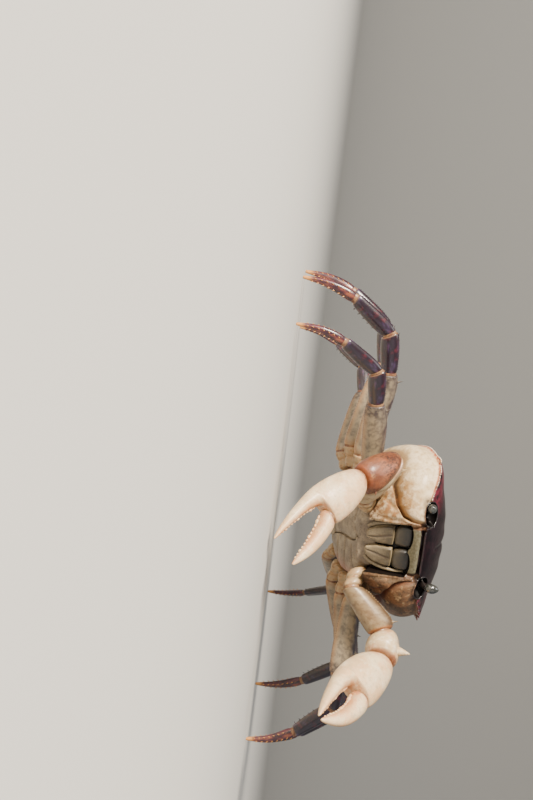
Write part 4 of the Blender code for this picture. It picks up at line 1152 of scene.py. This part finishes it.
feelers = {
    "root": (9.15, 14.7, -2.6), "reach": (0.5, 7.6, -0.5),       # outward, forward and up
    "base": ((0, 0.55), (0.15, 0.66), (0.32, 0.62), (0.46, 0.42)),   # share of the reach, width
    "lash": ((0.40, 0.34), (0.55, 0.30), (0.70, 0.26), (0.85, 0.22), (1.0, 0.14)), "rings": 9,
    "small": (((1.0, 18.1, -4.95), 0.3), ((2.2, 18.7, -5.05), 0.45), ((4.2, 18.5, -5.05), 0.42),
              ((5.9, 18.0, -5.0), 0.36), ((4.4, 18.6, -4.8), 0.3), ((2.6, 18.8, -4.75), 0.2)),
}


def makeFeelers(name, side):
    root, reach = (outForUp(side * x, f, up) for x, f, up in take(feelers, "root reach"))
    parts = [drawRibbon(part, [root + reach * share for share, _ in feelers[part]],
                        [width for _, width in feelers[part]]) for part in ("base", "lash")]
    for k in range(feelers["rings"]):                            # the lash is ringed
        parts.append(copyPiece(beadMaster, "ring", aim(root + reach * (0.50 + 0.05 * k), reach, skyward,
                                                       (0.22, 0.72 - 0.035 * k, 0.9 - 0.04 * k))))
    whole = joinPieces(parts, name)
    markLocal(whole)
    keep(whole, name, feelerMaterial, trunkPlace)
    small = drawRibbon("antennule", [outForUp(side * x, f, up) for (x, f, up), _ in feelers["small"]],
                       [width for _, width in feelers["small"]])
    markLocal(small)
    return small


def makeLip():
    # the fine lip under the front, drawn in where the two frontal lobes meet
    side, _, _, edgeX, edgeF = marginLine(np.arccos(np.linspace(-face["lipSpan"], face["lipSpan"], 25)))
    points = [outForUp(s * x, f - 0.12, -0.12 - float(frontDrop(f)))
              for s, x, f in zip(side, edgeX, edgeF) if x < face["lipHalf"]]
    lip = drawRibbon("frontLip", points, [0.12] + [face["lipWidth"]] * (len(points) - 2) + [0.12])
    markLocal(lip)
    keep(lip, "frontLip", darkTrimMaterial, trunkPlace)


smallFeelers = joinPieces([makeFeelers("antenna_" + sideName, side) for sideName, side in sides.items()],
                          "antennules")
keep(smallFeelers, "antennules", darkTrimMaterial, trunkPlace)
makeLip()
print("face made")

# breast plate and tail, as forward, up and half width
breast = {
    "facets": ((7.0, 50.0), (5.8, 28.0), (5.8, 6.0), (5.8, -16.0), (5.8, -42.0)),   # length, outward azimuth
    "middle": (2, (16.5, -4.0)), "front": (6.9, 12.6), "level": -17.1, "below": 3.4, "above": 2.3,
    "frontSeams": (((0, 9.4), (4.2, 10.2), (8.6, 12.0)), ((0, 12.0), (0, 6.0))),
    "segments": 280, "rings": 130,
}
tail = {
    "rear": ((-21.4, -1.7, 9.0), (-21.3, -5.2, 9.4), (-20.8, -9.6, 9.2), (-19.9, -14.0, 9.0),
             (-19.2, -17.3, 8.8)),
    "belly": ((-17.0, 8.6), (-14.0, 8.8), (-11.5, 6.4), (-7.5, 4.8), (-3.0, 3.7), (1.0, 3.0), (3.2, 2.4),
              (5.6, 1.0)),
    "seams": (3.4, 6.6, 9.8, 13.6, 18.4, 24.6), "level": -19.95, "trough": 1.6, "wall": 1.2,
}


def facetChain():
    # middles of the facets that carry the limbs, and the corners between them
    facets, (middle, at) = take(breast, "facets middle")

    def side(index):
        length, azimuth = facets[index]
        return Vector((-math.sin(math.radians(azimuth)), math.cos(math.radians(azimuth)))) * length

    centres, corners = {middle: Vector(at)}, []
    for direction in (1, -1):
        walk = Vector(at) + side(middle) * (direction / 2)
        corners.append(walk)
        index = middle - direction
        while 0 <= index < len(facets):
            step = side(index) * direction
            centres[index] = walk + step / 2
            walk = walk + step
            corners.append(walk)
            index -= direction
    corners.sort(key=lambda corner: -corner.y)
    return [centres[k] for k in range(len(facets))], corners


facetCentres, facetCorners = facetChain()


def shapeBelly(turn, level):
    # radius of the outline in each direction from the middle
    outline = [breast["front"]] + [tuple(corner) for corner in facetCorners]
    outline += [(-x, f) for x, f in reversed(outline)]
    outline.append(outline[0])
    dense = np.array([(x0 + (x1 - x0) * k / 24, f0 + (f1 - f0) * k / 24 + 2)
                      for (x0, f0), (x1, f1) in zip(outline, outline[1:]) for k in range(24)])
    denseTurn = np.arctan2(dense[:, 1], dense[:, 0])
    order = np.argsort(denseTurn)
    radius = np.interp(turn, denseTurn[order], np.hypot(*dense[order].T), period=2 * math.pi)
    below = level < 0
    share = np.where(level <= 0, clamp(1 + level) ** 0.75, clamp(1 - level) ** 0.6)
    x = radius * np.cos(turn) * share
    f = radius * np.sin(turn) * share - 2
    bulge = 1 - share ** 7
    up = breast["level"] + np.where(level <= 0, -breast["below"] * bulge ** 0.6, breast["above"] * bulge ** 0.3)

    # seams from the corners in, and across the front
    cavity = np.zeros_like(x)
    wide = np.abs(x)
    for index, corner in enumerate(facetCorners[:-1]):
        inner = max(2.6, 4.4 - 0.35 * index + (0.9 * index if index > 2 else 0))
        line = (tuple(corner), (corner.x * 0.72, corner.y - 0.3), (inner, corner.y - 1.2))
        hollow = nearLine(wide, f, line, 0.32) * below
        up += 0.42 * hollow
        cavity = np.maximum(cavity, hollow)
    front = np.max([nearLine(wide, f, line, 0.3) for line in breast["frontSeams"]], axis=0) * below
    up += 0.35 * front

    # trough for the tail, marked to be darkened as painted shade
    room = np.interp(f, *zip(*tail["belly"]), right=0.0) + 0.35
    inside = clamp((room - wide) / 0.35) * (f < 6.0) * below
    up += (tail["trough"] + 0.25) * inside
    return np.stack([x, -f, up], 1), {"cavity": np.maximum.reduce([cavity, front, inside * 0.8])}


def shapeTail(u, v):
    # seven joints, each a low swelling with a line between; the side edges marked to be darkened as painted shade
    path = [*tail["rear"], *((f, tail["level"], half) for f, half in tail["belly"])]
    table = np.array(path).T
    run = np.concatenate([[0], np.cumsum(np.hypot(*np.diff(table[:2])))])
    s, step = v * run[-1], 0.15
    f, up, half = (np.interp(s, run, row) for row in table)
    df, dz = (np.interp(s + step, run, row) - np.interp(s - step, run, row) for row in table[:2])
    norm = np.maximum(np.hypot(df, dz), 1e-6)
    aside = u * 2 - 1
    seam = np.exp(-(np.min([np.abs(s - joint) for joint in tail["seams"]], axis=0) / 0.28) ** 2)
    crown = 0.72 * (1 - np.abs(aside) ** 3.5) - 0.25 * seam
    return (np.stack([aside * half * (1 - 0.03 * seam), -(f + dz / norm * crown), up - df / norm * crown], 1),
            {"cavity": np.maximum(seam, clamp((np.abs(aside) - 0.9) / 0.1) * 0.6)})


belly = sculptSphere("sternum", breast["segments"], breast["rings"], shapeBelly)
cutMouth(belly, False)
shadeByAngle(belly, 50)
flap = sculptPlate("abdomen", 40, 150, shapeTail, tail["wall"])
for piece in (belly, flap):
    markLocal(piece)
keep(belly, "sternum", bellyMaterial, trunkPlace)
keep(flap, "abdomen", bellyMaterial, trunkPlace)
print("underside made")


def bisector(before, after):
    return (before.normalized() + after.normalized()).normalized()


jointGap, trunkGap, fingerGap = 0.12, 0.3, 0.15                  # millimetres left free at an article's ends


def layArticle(master, name, length, start, end, up, planeIn, planeOut, depth, mirror=1, bow=0.0, decay=1,
               gapIn=jointGap, gapOut=jointGap):
    # a copy of an article, laid from joint to joint, its ends leaning into the joints' planes
    twin = copyPiece(master, name)
    points = readPoints(twin)
    along = (end - start).normalized()
    up = (up - along * up.dot(along)).normalized()
    aside = along.cross(up) * mirror
    share = points[:, 0] / length
    held = clamp(share)
    offset = points[:, 1:2] * depth * np.array(aside) + points[:, 2:] * depth * np.array(up)
    leanIn = (gapIn * mm - offset @ np.array(planeIn)) / along.dot(planeIn)
    leanOut = (-gapOut * mm - offset @ np.array(planeOut)) / along.dot(planeOut)
    travel = (end - start).length * share + leanIn * (1 - held) ** decay + leanOut * held ** decay
    arch = bow * np.sin(math.pi * held)
    writePoints(twin, np.array(start) + travel[:, None] * np.array(along) + offset + arch[:, None] * np.array(up))
    if mirror > 0:                                               # the frame is then mirrored, its faces too
        twin.data.flip_normals()
    return twin


skinMaster = drawTube("skinMaster", 20, [(-1.1, 0, 0.78, 0.78), (-0.6, 0, 0.88, 0.88), (0, 0, 0.93, 0.93),
                                         (0.6, 0, 0.88, 0.88), (1.1, 0, 0.78, 0.78)], levels=1)


def makeSkins(name, sleeves):
    # the soft skin showing in the joints: place, way, up, height and width of each
    skins = []
    for at, way, up, high, wide in sleeves:
        skins.append(copyPiece(skinMaster, "skin", aim(at, way, up, (mm, wide * mm, high * mm))))
    skin = joinPieces(skins, name)
    markLocal(skin, mm)
    keep(skin, name, skinMaterial)


studSink, asideSink, hornSink = 0.985, 0.97, 0.93                # how deep grains and thorns are set in


def rowOfBeads(rings, count, first, last, rise, size, sideways=0.0):
    # grains along an edge of an article, at a share of its height
    beads = []
    start, length = rings[0][0], rings[-1][0] - rings[0][0]
    for k in range(count):
        at = start + length * (first + (last - first) * k / (count - 1))
        up, high, wide = (float(value) for value in ringAt(rings, at))
        height = up + high * rise * math.cos(math.asin(sideways)) * studSink
        place = (at, wide * sideways * asideSink, height)
        beads.append(copyPiece(beadMaster, "grain", aim(place, (1, 0, 0), skyward,
                                                        size * (0.85 + 0.3 * abs(math.sin(k * 1.9))))))
    return beads


def drawArticle(name, count, form, studs, mark):
    # a tube with its grains and thorns, which all take one place in the paint
    rings = ringsFrom(form["sections"], form["length"])
    tube = drawTube(name, count, rings)
    extras = [bead for row in studs.get("rows", ()) for bead in rowOfBeads(rings, *row)]
    extras += [copyPiece(spineMaster, "thorn", aim(*place)) for place in studs.get("thorns", ())]
    if not extras:
        return tube
    extras = joinPieces(extras, name + "Studs")
    storePaint(extras, shell=mark)
    markLocal(extras, 1)
    return joinPieces([tube, extras], name)


legForms = {
    "base": {"length": 7.0, "sections": (
        (0.00, 2.5, 2.4, 2.5), (0.10, 2.75, 2.6, 2.7), (0.30, 2.65, 2.5, 2.65), (0.42, 2.3, 2.25, 2.3),
        (0.47, 2.0, 2.0, 2.0), (0.52, 2.1, 2.05, 2.0), (0.62, 2.45, 2.35, 2.15), (0.9, 2.5, 2.35, 2.0),
        (1.00, 2.3, 2.2, 1.8))},
    "merus": {"length": 27.5, "sections": (
        (0.00, 2.1, 2.0, 1.6), (0.02, 2.5, 2.3, 1.8), (0.06, 2.85, 2.65, 2.0), (0.14, 3.3, 2.9, 2.15),
        (0.32, 3.95, 3.2, 2.3), (0.5, 4.15, 3.4, 2.35), (0.68, 4.2, 3.5, 2.3), (0.84, 4.0, 3.45, 2.25),
        (0.93, 3.6, 3.3, 2.15), (0.965, 3.2, 3.1, 2.05), (0.985, 3.1, 3.05, 2.0), (1.00, 2.8, 2.85, 1.9))},
    "carpus": {"length": 12.5, "sections": (
        (0.00, 2.2, 2.1, 1.5), (0.04, 2.5, 2.25, 1.65), (0.12, 2.75, 2.35, 1.75), (0.35, 3.05, 2.5, 1.85),
        (0.62, 3.15, 2.65, 1.9), (0.85, 3.0, 2.6, 1.85), (0.94, 2.75, 2.5, 1.75), (1.00, 2.35, 2.3, 1.6))},
    "propodus": {"length": 15.0, "sections": (
        (0.00, 2.0, 2.0, 1.4), (0.04, 2.35, 2.25, 1.55), (0.14, 2.65, 2.45, 1.7), (0.35, 2.8, 2.5, 1.7),
        (0.6, 2.6, 2.4, 1.6), (0.85, 2.3, 2.15, 1.45), (0.93, 2.2, 2.1, 1.4), (1.00, 1.75, 1.75, 1.2))},
    "dactylus": {"length": 16.5, "sections": (
        (0.00, 1.4, 1.4, 1.05), (0.04, 1.65, 1.65, 1.2), (0.12, 1.85, 1.8, 1.3), (0.3, 1.7, 1.65, 1.25),
        (0.5, 1.4, 1.35, 1.08), (0.7, 1.05, 1.0, 0.88), (0.86, 0.74, 0.72, 0.68), (0.95, 0.55, 0.54, 0.54),
        (0.985, 0.46, 0.46, 0.46), (1.00, 0.40, 0.40, 0.40))},
}

# rows of grains: count, first and last share of the length, rise, size, sideways; thorns: at, way, up, size
legStuds = {
    "merus": {"rows": ((34, 0.08, 0.90, 1.0, 0.42), (26, 0.12, 0.92, -0.97, 0.34, 0.35),
                       (26, 0.12, 0.92, -0.97, 0.34, -0.35)),
              "thorns": (((25.0, 0, 3.1), (0.55, 0, 1), (-1, 0, 0.5), 2.1),)},
    "carpus": {"rows": ((14, 0.12, 0.9, 1.0, 0.36), (12, 0.15, 0.88, 0.8, 0.28, 0.6)),
               "thorns": (((11.2, 0, 2.45), (0.9, 0, 0.7), (-1, 0, 0.5), 1.0),)},
    "propodus": {"thorns": [((4.2 + 2.2 * k, y, -2.15), (0.7, 0, -1), (-1, 0, -0.4), 0.75)
                            for y in (-0.45, 0.45) for k in range(5)],
                 "rows": ((16, 0.1, 0.9, 1.0, 0.3),)},
}


def hornyRows():
    # four rows of small thorns along the leg's tip
    rings = ringsFrom(legForms["dactylus"]["sections"], legForms["dactylus"]["length"])
    thorns = []
    for turn in (35, 145, 215, 325):
        y, z = math.cos(math.radians(turn)), math.sin(math.radians(turn))
        for k in range(7):
            at = 2.2 + 1.75 * k + (0.8 if turn > 180 else 0)
            up, high, wide = (float(value) for value in ringAt(rings, at))
            thorns.append(((at, wide * y * hornSink, up + high * z * hornSink), (1.0, y * 0.8, z * 0.8),
                           (0, -z, y), 0.8))
    return thorns


legStuds["dactylus"] = {"thorns": hornyRows()}
legMasters = {kind: drawArticle(kind + "Master", 16, form, legStuds.get(kind, {}),
                                (1.0 if kind == "dactylus" else 0.5, 0, 0.9))
              for kind, form in legForms.items()}
print("leg masters made")

legs = {
    "walking": (("leg_2", 0.90, 0.95, 16.0), ("leg_3", 1.00, 1.00, 4.0), ("leg_4", 0.97, 1.00, -18.0),
                ("leg_5", 0.80, 0.86, -46.0)),                   # name, length, depth, azimuth of the leg's plane
    "slopes": {"carpus": -6.0, "propodus": -50.0, "dactylus": -74.0},
    "baseLevel": -17.6, "baseDrop": 10.0, "clawBaseLevel": -18.5, "clawBaseDrop": 30.0, "bow": 1.0,
    "skins": ((2.25, 1.8), (2.75, 1.85), (2.3, 1.6), (1.7, 1.2)),   # height and width, from the hip out
    "finishes": {"base": ("joint_shell", baseMaterial), "merus": ("merus_shell", upperMaterial),
                 "carpus": ("leg_shell", lowerMaterial), "propodus": ("leg_shell", lowerMaterial),
                 "dactylus": ("leg_tip", tipMaterial)},
}


def baseFrame(index, side, level, drop, length):
    # root, hip, way of the base and the facet's own normal, in the world
    centre, facing, tilt = facetCentres[index], math.radians(breast["facets"][index][1]), math.radians(drop)
    turning = trunkPlace.to_3x3().normalized()
    normal = (turning @ outForUp(side * math.cos(facing), math.sin(facing), 0)).normalized()
    way = turning @ outForUp(side * math.cos(facing) * math.cos(tilt), math.sin(facing) * math.cos(tilt),
                             -math.sin(tilt))
    root = trunkPlace @ outForUp(side * centre.x, centre.y, level)
    return root, root + way.normalized() * length * mm, way.normalized(), normal


def slopeWay(azimuth, slope, side):
    turn, tilt = math.radians(azimuth), math.radians(slope)
    level = math.cos(tilt)
    return Vector((side * math.cos(turn) * level, -math.sin(turn) * level, math.sin(tilt)))


def makeWalkingLeg(name, side, index, lengthScale, depth, azimuth):
    kinds = list(legForms)
    root, hip, way, normal = baseFrame(index, side, legs["baseLevel"], legs["baseDrop"],
                                       legForms["base"]["length"] * depth)
    ways = {kind: slopeWay(azimuth, slope, side) for kind, slope in legs["slopes"].items()}
    lengths = {kind: legForms[kind]["length"] * lengthScale * mm for kind in kinds[1:]}
    fallen = hip.z + sum(ways[kind].z * lengths[kind] for kind in ways)
    ways["merus"] = slopeWay(azimuth, math.degrees(math.asin(-fallen / lengths["merus"])), side)
    points, directions = [root, hip], [way] + [ways[kind] for kind in kinds[1:]]
    for kind in kinds[1:]:
        points.append(points[-1] + ways[kind] * lengths[kind])
    planes = [normal] + [bisector(a, b) for a, b in zip(directions, directions[1:])] + [-skyward]
    for k, kind in enumerate(kinds):
        last = kind == "dactylus"
        slot, material = legs["finishes"][kind]
        piece = layArticle(legMasters[kind], kind, legForms[kind]["length"], points[k], points[k + 1], skyward,
                           planes[k], planes[k + 1], depth * mm, side, legs["bow"] * mm if last else 0.0,
                           2 if last else 1, jointGap if k else trunkGap, 0.0 if last else jointGap)
        keep(piece, f"{name}_{kind}", material)
    makeSkins(name + "_skin", [(points[k], planes[k], skyward, high * depth, wide * depth)
                               for k, (high, wide) in enumerate(legs["skins"], start=1)])


for sideName, side in sides.items():
    for index, (name, *plan) in enumerate(legs["walking"], start=1):
        makeWalkingLeg(f"{name}_{sideName}", side, index, *plan)
print("walking legs made")

clawForms = {
    "base": {"length": 7.0, "sections": (
        (0.00, 2.6, 2.5, 3.0), (0.12, 2.9, 2.75, 3.25), (0.35, 2.95, 2.75, 3.2), (0.46, 2.6, 2.5, 2.8),
        (0.52, 2.4, 2.3, 2.6), (0.60, 2.7, 2.5, 2.7), (0.75, 2.95, 2.75, 2.8), (1.00, 2.9, 2.6, 2.5))},
    "merus": {"length": 16.0, "sections": (
        (0.00, 2.7, 2.5, 2.4), (0.05, 3.0, 2.7, 2.6), (0.15, 3.5, 2.9, 2.9), (0.45, 4.4, 3.1, 3.5),
        (0.75, 4.9, 3.3, 4.0), (0.88, 4.7, 3.3, 4.0), (0.95, 4.1, 3.15, 3.75), (1.00, 3.4, 3.0, 3.3))},
    "carpus": {"length": 10.0, "sections": (
        (0.00, 3.1, 3.0, 3.3), (0.06, 3.8, 3.4, 4.1), (0.20, 4.8, 3.95, 5.2), (0.50, 5.5, 4.5, 5.9),
        (0.76, 5.3, 4.4, 5.6), (0.90, 4.7, 4.1, 4.9), (0.96, 4.1, 3.7, 4.2), (1.00, 3.5, 3.4, 3.6))},
    "palm": (
        (0.00, 0.23, -0.21, 0.30), (0.03, 0.28, -0.26, 0.36), (0.10, 0.34, -0.31, 0.41),
        (0.27, 0.42, -0.39, 0.47), (0.54, 0.49, -0.46, 0.51), (0.78, 0.51, -0.49, 0.50),
        (0.92, 0.50, -0.49, 0.47), (0.98, 0.475, -0.49, 0.43), (1.00, 0.45, -0.485, 0.41)),
    "fixedFinger": (
        (0.00, -0.02, -0.48, 0.38), (0.04, -0.06, -0.475, 0.36), (0.12, -0.10, -0.46, 0.34),
        (0.24, -0.12, -0.43, 0.30), (0.36, -0.12, -0.39, 0.26), (0.50, -0.11, -0.35, 0.22),
        (0.62, -0.10, -0.30, 0.185), (0.76, -0.085, -0.24, 0.145), (0.88, -0.07, -0.175, 0.10),
        (0.96, -0.055, -0.12, 0.065), (1.00, -0.06, -0.09, 0.03)),
    "finger": (
        (0.00, 0.19, 0.19, 0.31), (0.03, 0.22, 0.205, 0.34), (0.08, 0.235, 0.21, 0.355),
        (0.22, 0.215, 0.175, 0.32), (0.34, 0.20, 0.165, 0.285), (0.48, 0.18, 0.15, 0.24),
        (0.60, 0.16, 0.135, 0.20), (0.74, 0.13, 0.11, 0.155), (0.88, 0.085, 0.075, 0.105),
        (0.96, 0.05, 0.045, 0.06), (1.00, 0.025, 0.025, 0.03)),
    "shoulder": 0.4, "fingerLevel": 0.245, "fingerDrop": 0.23,
    "teeth": 12, "toothSize": 0.062, "toothFrom": 0.14, "toothRun": 0.74,
    "plainHeight": 13.6,                                         # height of the palm that the arm is drawn for
    "spineAt": 0.62, "spineLevel": 2.9, "spineGirth": 1.7,
}

claws = {
    "right": {"elbow": (25.9, 20.5, 31.4), "wrist": (24.6, 28.4, 24.1), "aim": (-13.1, 23.3, -21.8),
              "fingerSide": (-0.78, 0.26, 0.57), "palmLength": 15.5, "palmHeight": 13.0, "palmThickness": 8.2,
              "fingerLength": 19.0, "gape": 24.0, "bow": 0.08, "spine": (-0.75, 0.45, 0.45), "spineLength": 3.5,
              "wristFinish": mottledMaterial, "armMaterialByShade": armMaterial},
    "left": {"elbow": (26.9, 21.5, 36.6), "wrist": (32.0, 30.0, 37.5), "aim": (4.0, 33.0, -16.3),
             "fingerSide": (0.80, 0.25, 0.60), "palmLength": 17.5, "palmHeight": 15.6, "palmThickness": 9.6,
             "fingerLength": 19.5, "gape": 0.0, "bow": 0.14, "spine": (-0.20, 0.25, 0.95), "spineLength": 6.0,
             "wristFinish": paleMaterial, "armMaterialByShade": shadedArmMaterial},
}

clawStuds = {
    "merus": {"rows": ((18, 0.1, 0.9, 1.0, 0.5), (14, 0.1, 0.9, -0.9, 0.42, 0.55),
                       (14, 0.1, 0.9, -0.9, 0.42, -0.55)),
              "thorns": (((13.9, 0, 4.3), (0.45, 0, 1), (-1, 0, 0.5), 1.9),)},
}


def drawClawPart(name, count, rings, edgeOf, edgeLine, size):
    # palm or finger with its low rounded teeth, larger towards the palm
    part = drawTube(name, count, rings)
    points = readPoints(part)
    up, tall, _ = ringAt(rings, points[:, 0])
    storePaint(part, edge=edgeOf(points[:, 0], (points[:, 2] - up) / tall))
    teeth, number = [], clawForms["teeth"]
    for k in range(number):
        share = clawForms["toothFrom"] + clawForms["toothRun"] * k / (number - 1)
        big = size * (1.35 if k % 4 == 1 else 0.95) * (1.15 - 0.6 * share)
        teeth.append(copyPiece(beadMaster, "tooth", aim(edgeLine(share), (1, 0, 0), skyward,
                                                        (big * 1.5, big * 1.1, big * 1.3))))
    teeth = joinPieces(teeth, "teeth")
    storePaint(teeth, edge=0.5, shell=(0.5, 0.5, 0.5))
    markLocal(teeth, 1)
    return joinPieces([part, teeth], name)


def makeClaw(sideName, spec):
    side, forms, label = sides[sideName], clawForms, f"claw_{sideName}_"
    root, hip, baseWay, normal = baseFrame(0, side, legs["clawBaseLevel"], legs["clawBaseDrop"],
                                           forms["base"]["length"])
    ground = Vector((0, stance["shift"] * mm, 0))
    elbow, wrist = (ground + outForUp(side * x, f, z) * mm for x, f, z in take(spec, "elbow wrist"))
    way = outForUp(side * spec["aim"][0], *spec["aim"][1:]).normalized()
    hint = outForUp(side * spec["fingerSide"][0], *spec["fingerSide"][1:])
    fingerUp = (hint - way * hint.dot(way)).normalized()
    upper, block = (elbow - hip).normalized(), (wrist - elbow).normalized()
    planes = [normal, bisector(baseWay, upper), bisector(upper, block), bisector(block, way)]
    joints = [root, hip, elbow, wrist]
    size = (spec["palmHeight"] / forms["plainHeight"]) ** 0.5
    plan = (("base", "joint_shell", baseMaterial, 1.0), ("merus", "merus_shell", spec["armMaterialByShade"], size),
            ("carpus", "claw_shell", spec["wristFinish"], size))
    for k, (kind, slot, material, depth) in enumerate(plan):
        form = forms[kind]
        master = drawArticle(kind, 20, form, clawStuds.get(kind, {}), (0.5, 0.5, 0.5))
        piece = layArticle(master, label + kind, form["length"], joints[k], joints[k + 1], skyward,
                           planes[k], planes[k + 1], depth * mm, gapIn=jointGap if k else trunkGap)
        if kind == "carpus":
            thorn = outForUp(side * spec["spine"][0], *spec["spine"][1:]).normalized()
            at = joints[k].lerp(joints[k + 1], forms["spineAt"]) + thorn * forms["spineLevel"] * mm * size
            long = spec["spineLength"] * mm * size
            girth = long * forms["spineGirth"]
            spike = copyPiece(spineMaster, "spike", aim(at, thorn, way, (long, girth, girth)))
            storePaint(spike, shell=(0.4, 0.4, 0.4))
            markLocal(spike, mm)
            piece = joinPieces([piece, spike], label + kind)
        faceOut(piece)
        keep(piece, label + kind, material)
        removePieces(master)

    # palm with the fixed finger, drawn along X with the movable finger's side up
    high, thick, palmLength, fingerLength = take(spec, "palmHeight palmThickness palmLength fingerLength")
    reach, start = fingerLength - forms["shoulder"], palmLength + forms["shoulder"]
    total = palmLength + fingerLength
    tooth = forms["toothSize"] * high
    rings = [(along, (top + low) / 2 * high, (top - low) / 2 * high, half * thick)
             for first, run, sections in ((0, palmLength, forms["palm"]), (start, reach, forms["fixedFinger"]))
             for along, top, low, half in ((first + run * share, *rest) for share, *rest in sections)]
    shares, tops = list(zip(*forms["fixedFinger"]))[:2]
    palm = drawClawPart(
        "palm", 24, rings, lambda along, rise: clamp((along - palmLength + 1) / 3) * clamp((rise + 0.1) / 0.9),
        lambda share: (start + reach * share, 0, float(np.interp(share, shares, tops)) * high), tooth)
    piece = layArticle(palm, label + "palm", total, wrist, wrist + way * total * mm, fingerUp, planes[3], way,
                       mm, side, decay=4, gapOut=0.0)
    faceOut(piece)
    keep(piece, label + "palm", clawMaterial)

    # movable finger
    hinge = wrist + way * start * mm + fingerUp * forms["fingerLevel"] * high * mm
    opening = Matrix.Rotation(math.radians(spec["gape"]), 3, way.cross(fingerUp))
    tip = hinge + opening @ (way * reach - fingerUp * forms["fingerDrop"] * high) * mm
    length = (tip - hinge).length / mm
    rings = [(share * length, (above - below) / 2 * high, (above + below) / 2 * high, half * thick)
             for share, above, below, half in forms["finger"]]
    shares, _, lows = list(zip(*forms["finger"]))[:3]
    finger = drawClawPart(
        "finger", 20, rings, lambda along, rise: clamp(0.1 - rise),
        lambda share: (length * share, 0, -float(np.interp(share, shares, lows)) * high), tooth)
    piece = layArticle(finger, label + "finger", length, hinge, tip, fingerUp, way, (tip - hinge).normalized(),
                       mm, side, spec["bow"] * high * mm, 4, fingerGap, 0.0)
    faceOut(piece)
    keep(piece, label + "finger", clawMaterial)
    removePieces(palm, finger)
    makeSkins(label + "skin", [(hip, planes[1], skyward, 2.6, 2.5),
                               (elbow, planes[2], skyward, 3.2 * size, 3.3 * size),
                               (wrist, planes[3], fingerUp, 0.24 * high, 0.33 * thick),
                               (hinge, way, fingerUp, 0.20 * high, 0.33 * thick)])


for sideName, spec in claws.items():
    makeClaw(sideName, spec)
removePieces(beadMaster, spineMaster, skinMaster, *legMasters.values())
print("claws made")


# floor, light and camera
studio = {
    "floor": tone(206, 203, 196), "bend": 0.35, "bendSteps": 12, "wall": 2.5, "reach": (6, 3.2),
    "key": ((-0.80, -0.42, 0.40), 30.0, 0.26), "fill": ((0.55, -0.85, 0.30), 1.2, 0.9),
    "top": ((-0.3, -0.1, 1.1), 4.0, 0.6), "world": 0.32,
}


def makeFloor():
    # floor and wall as one sheet that bends up far behind
    clearSelection()
    bpy.ops.mesh.primitive_plane_add(size=1, location=(0, -0.2, 0))
    sheet = settle("studioFloor", (*studio["reach"], 1))
    bpy.ops.object.mode_set(mode="EDIT")
    bpy.ops.mesh.select_mode(type="EDGE")
    bpy.ops.mesh.select_all(action="DESELECT")
    bpy.ops.object.mode_set(mode="OBJECT")
    for edge in sheet.data.edges:
        edge.select = all(sheet.data.vertices[v].co.y > 1.0 for v in edge.vertices)
    bpy.ops.object.mode_set(mode="EDIT")
    degrees = 90 / studio["bendSteps"]
    step = studio["bend"] * math.radians(degrees)
    for k in range(studio["bendSteps"]):
        turn = math.radians(degrees * (k + 0.5))
        bpy.ops.mesh.extrude_edges_move(
            TRANSFORM_OT_translate={"value": (0, step * math.cos(turn), step * math.sin(turn))})
    bpy.ops.mesh.extrude_edges_move(TRANSFORM_OT_translate={"value": (0, 0, studio["wall"])})
    clearSelection()
    sheet.data.shade_smooth()
    paint = Paint("studioFloor", {"Roughness": 0.6})
    sheet.data.materials.append(paint.finish(studio["floor"], 0.62))


makeFloor()


def addLight(name, place, target, power, size, colour):
    clearSelection()
    bpy.ops.object.light_add(type="AREA", location=place)
    light = bpy.context.object
    light.name = name
    light.data.energy = power
    light.data.size = size
    light.data.color = colour
    light.rotation_euler = (Vector(target) - Vector(place)).to_track_quat("-Z", "Y").to_euler()


for lamp in ("key", "fill", "top"):
    place, power, size = studio[lamp]
    addLight(lamp + "Light", place, (0, 0, 0.03), power, size, (1.0, 0.91, 0.78) if lamp == "key" else (1, 1, 1))

world = bpy.data.worlds.new("studio")
bpy.context.scene.world = world
world.use_nodes = True
world.node_tree.nodes["Background"].inputs["Color"].default_value = tone(232, 236, 242)
world.node_tree.nodes["Background"].inputs["Strength"].default_value = studio["world"]

view = {
    "azimuth": -18.8, "distance": 0.52, "height": 0.010, "roll": 7.3,
    "bodyPixel": (403, 544), "body": (0.0, -0.004, 0.040), "pixelsPerMillimetre": 3.3, "image": (533, 800),
}


def makeCamera():
    # turned on its side, as the picture was taken: the floor is at the picture's left
    azimuth = math.radians(view["azimuth"])
    back = Vector((math.sin(azimuth), -math.cos(azimuth), 0))
    right = skyward                                              # picture right is up from the floor
    up = Vector((-math.cos(azimuth), -math.sin(azimuth), 0))     # picture up is the crab's own right
    lean = math.radians(view["roll"])
    right, up = right * math.cos(lean) + up * math.sin(lean), up * math.cos(lean) - right * math.sin(lean)
    wide, tall = view["image"]
    offRight = (view["bodyPixel"][0] - wide / 2) / view["pixelsPerMillimetre"] * mm
    offDown = (view["bodyPixel"][1] - tall / 2) / view["pixelsPerMillimetre"] * mm
    target = Vector(view["body"]) - right * offRight + up * offDown
    place = target + back * view["distance"]
    place.z = view["height"]
    forward = (target - place).normalized()
    right = (right - forward * right.dot(forward)).normalized()
    up = right.cross(forward)
    bpy.ops.object.camera_add(location=place)
    camera = bpy.context.object
    camera.name = "pictureCamera"
    turn = Matrix((right, up, -forward)).transposed()
    camera.rotation_euler = turn.to_euler()
    half = tall / view["pixelsPerMillimetre"] / 2 * mm
    camera.data.sensor_width = 36
    camera.data.lens = 18 * (target - place).length / half
    camera.data.clip_start = 0.01
    camera.data.clip_end = 20
    bpy.context.scene.camera = camera


clearSelection()
makeCamera()
print("studio made")
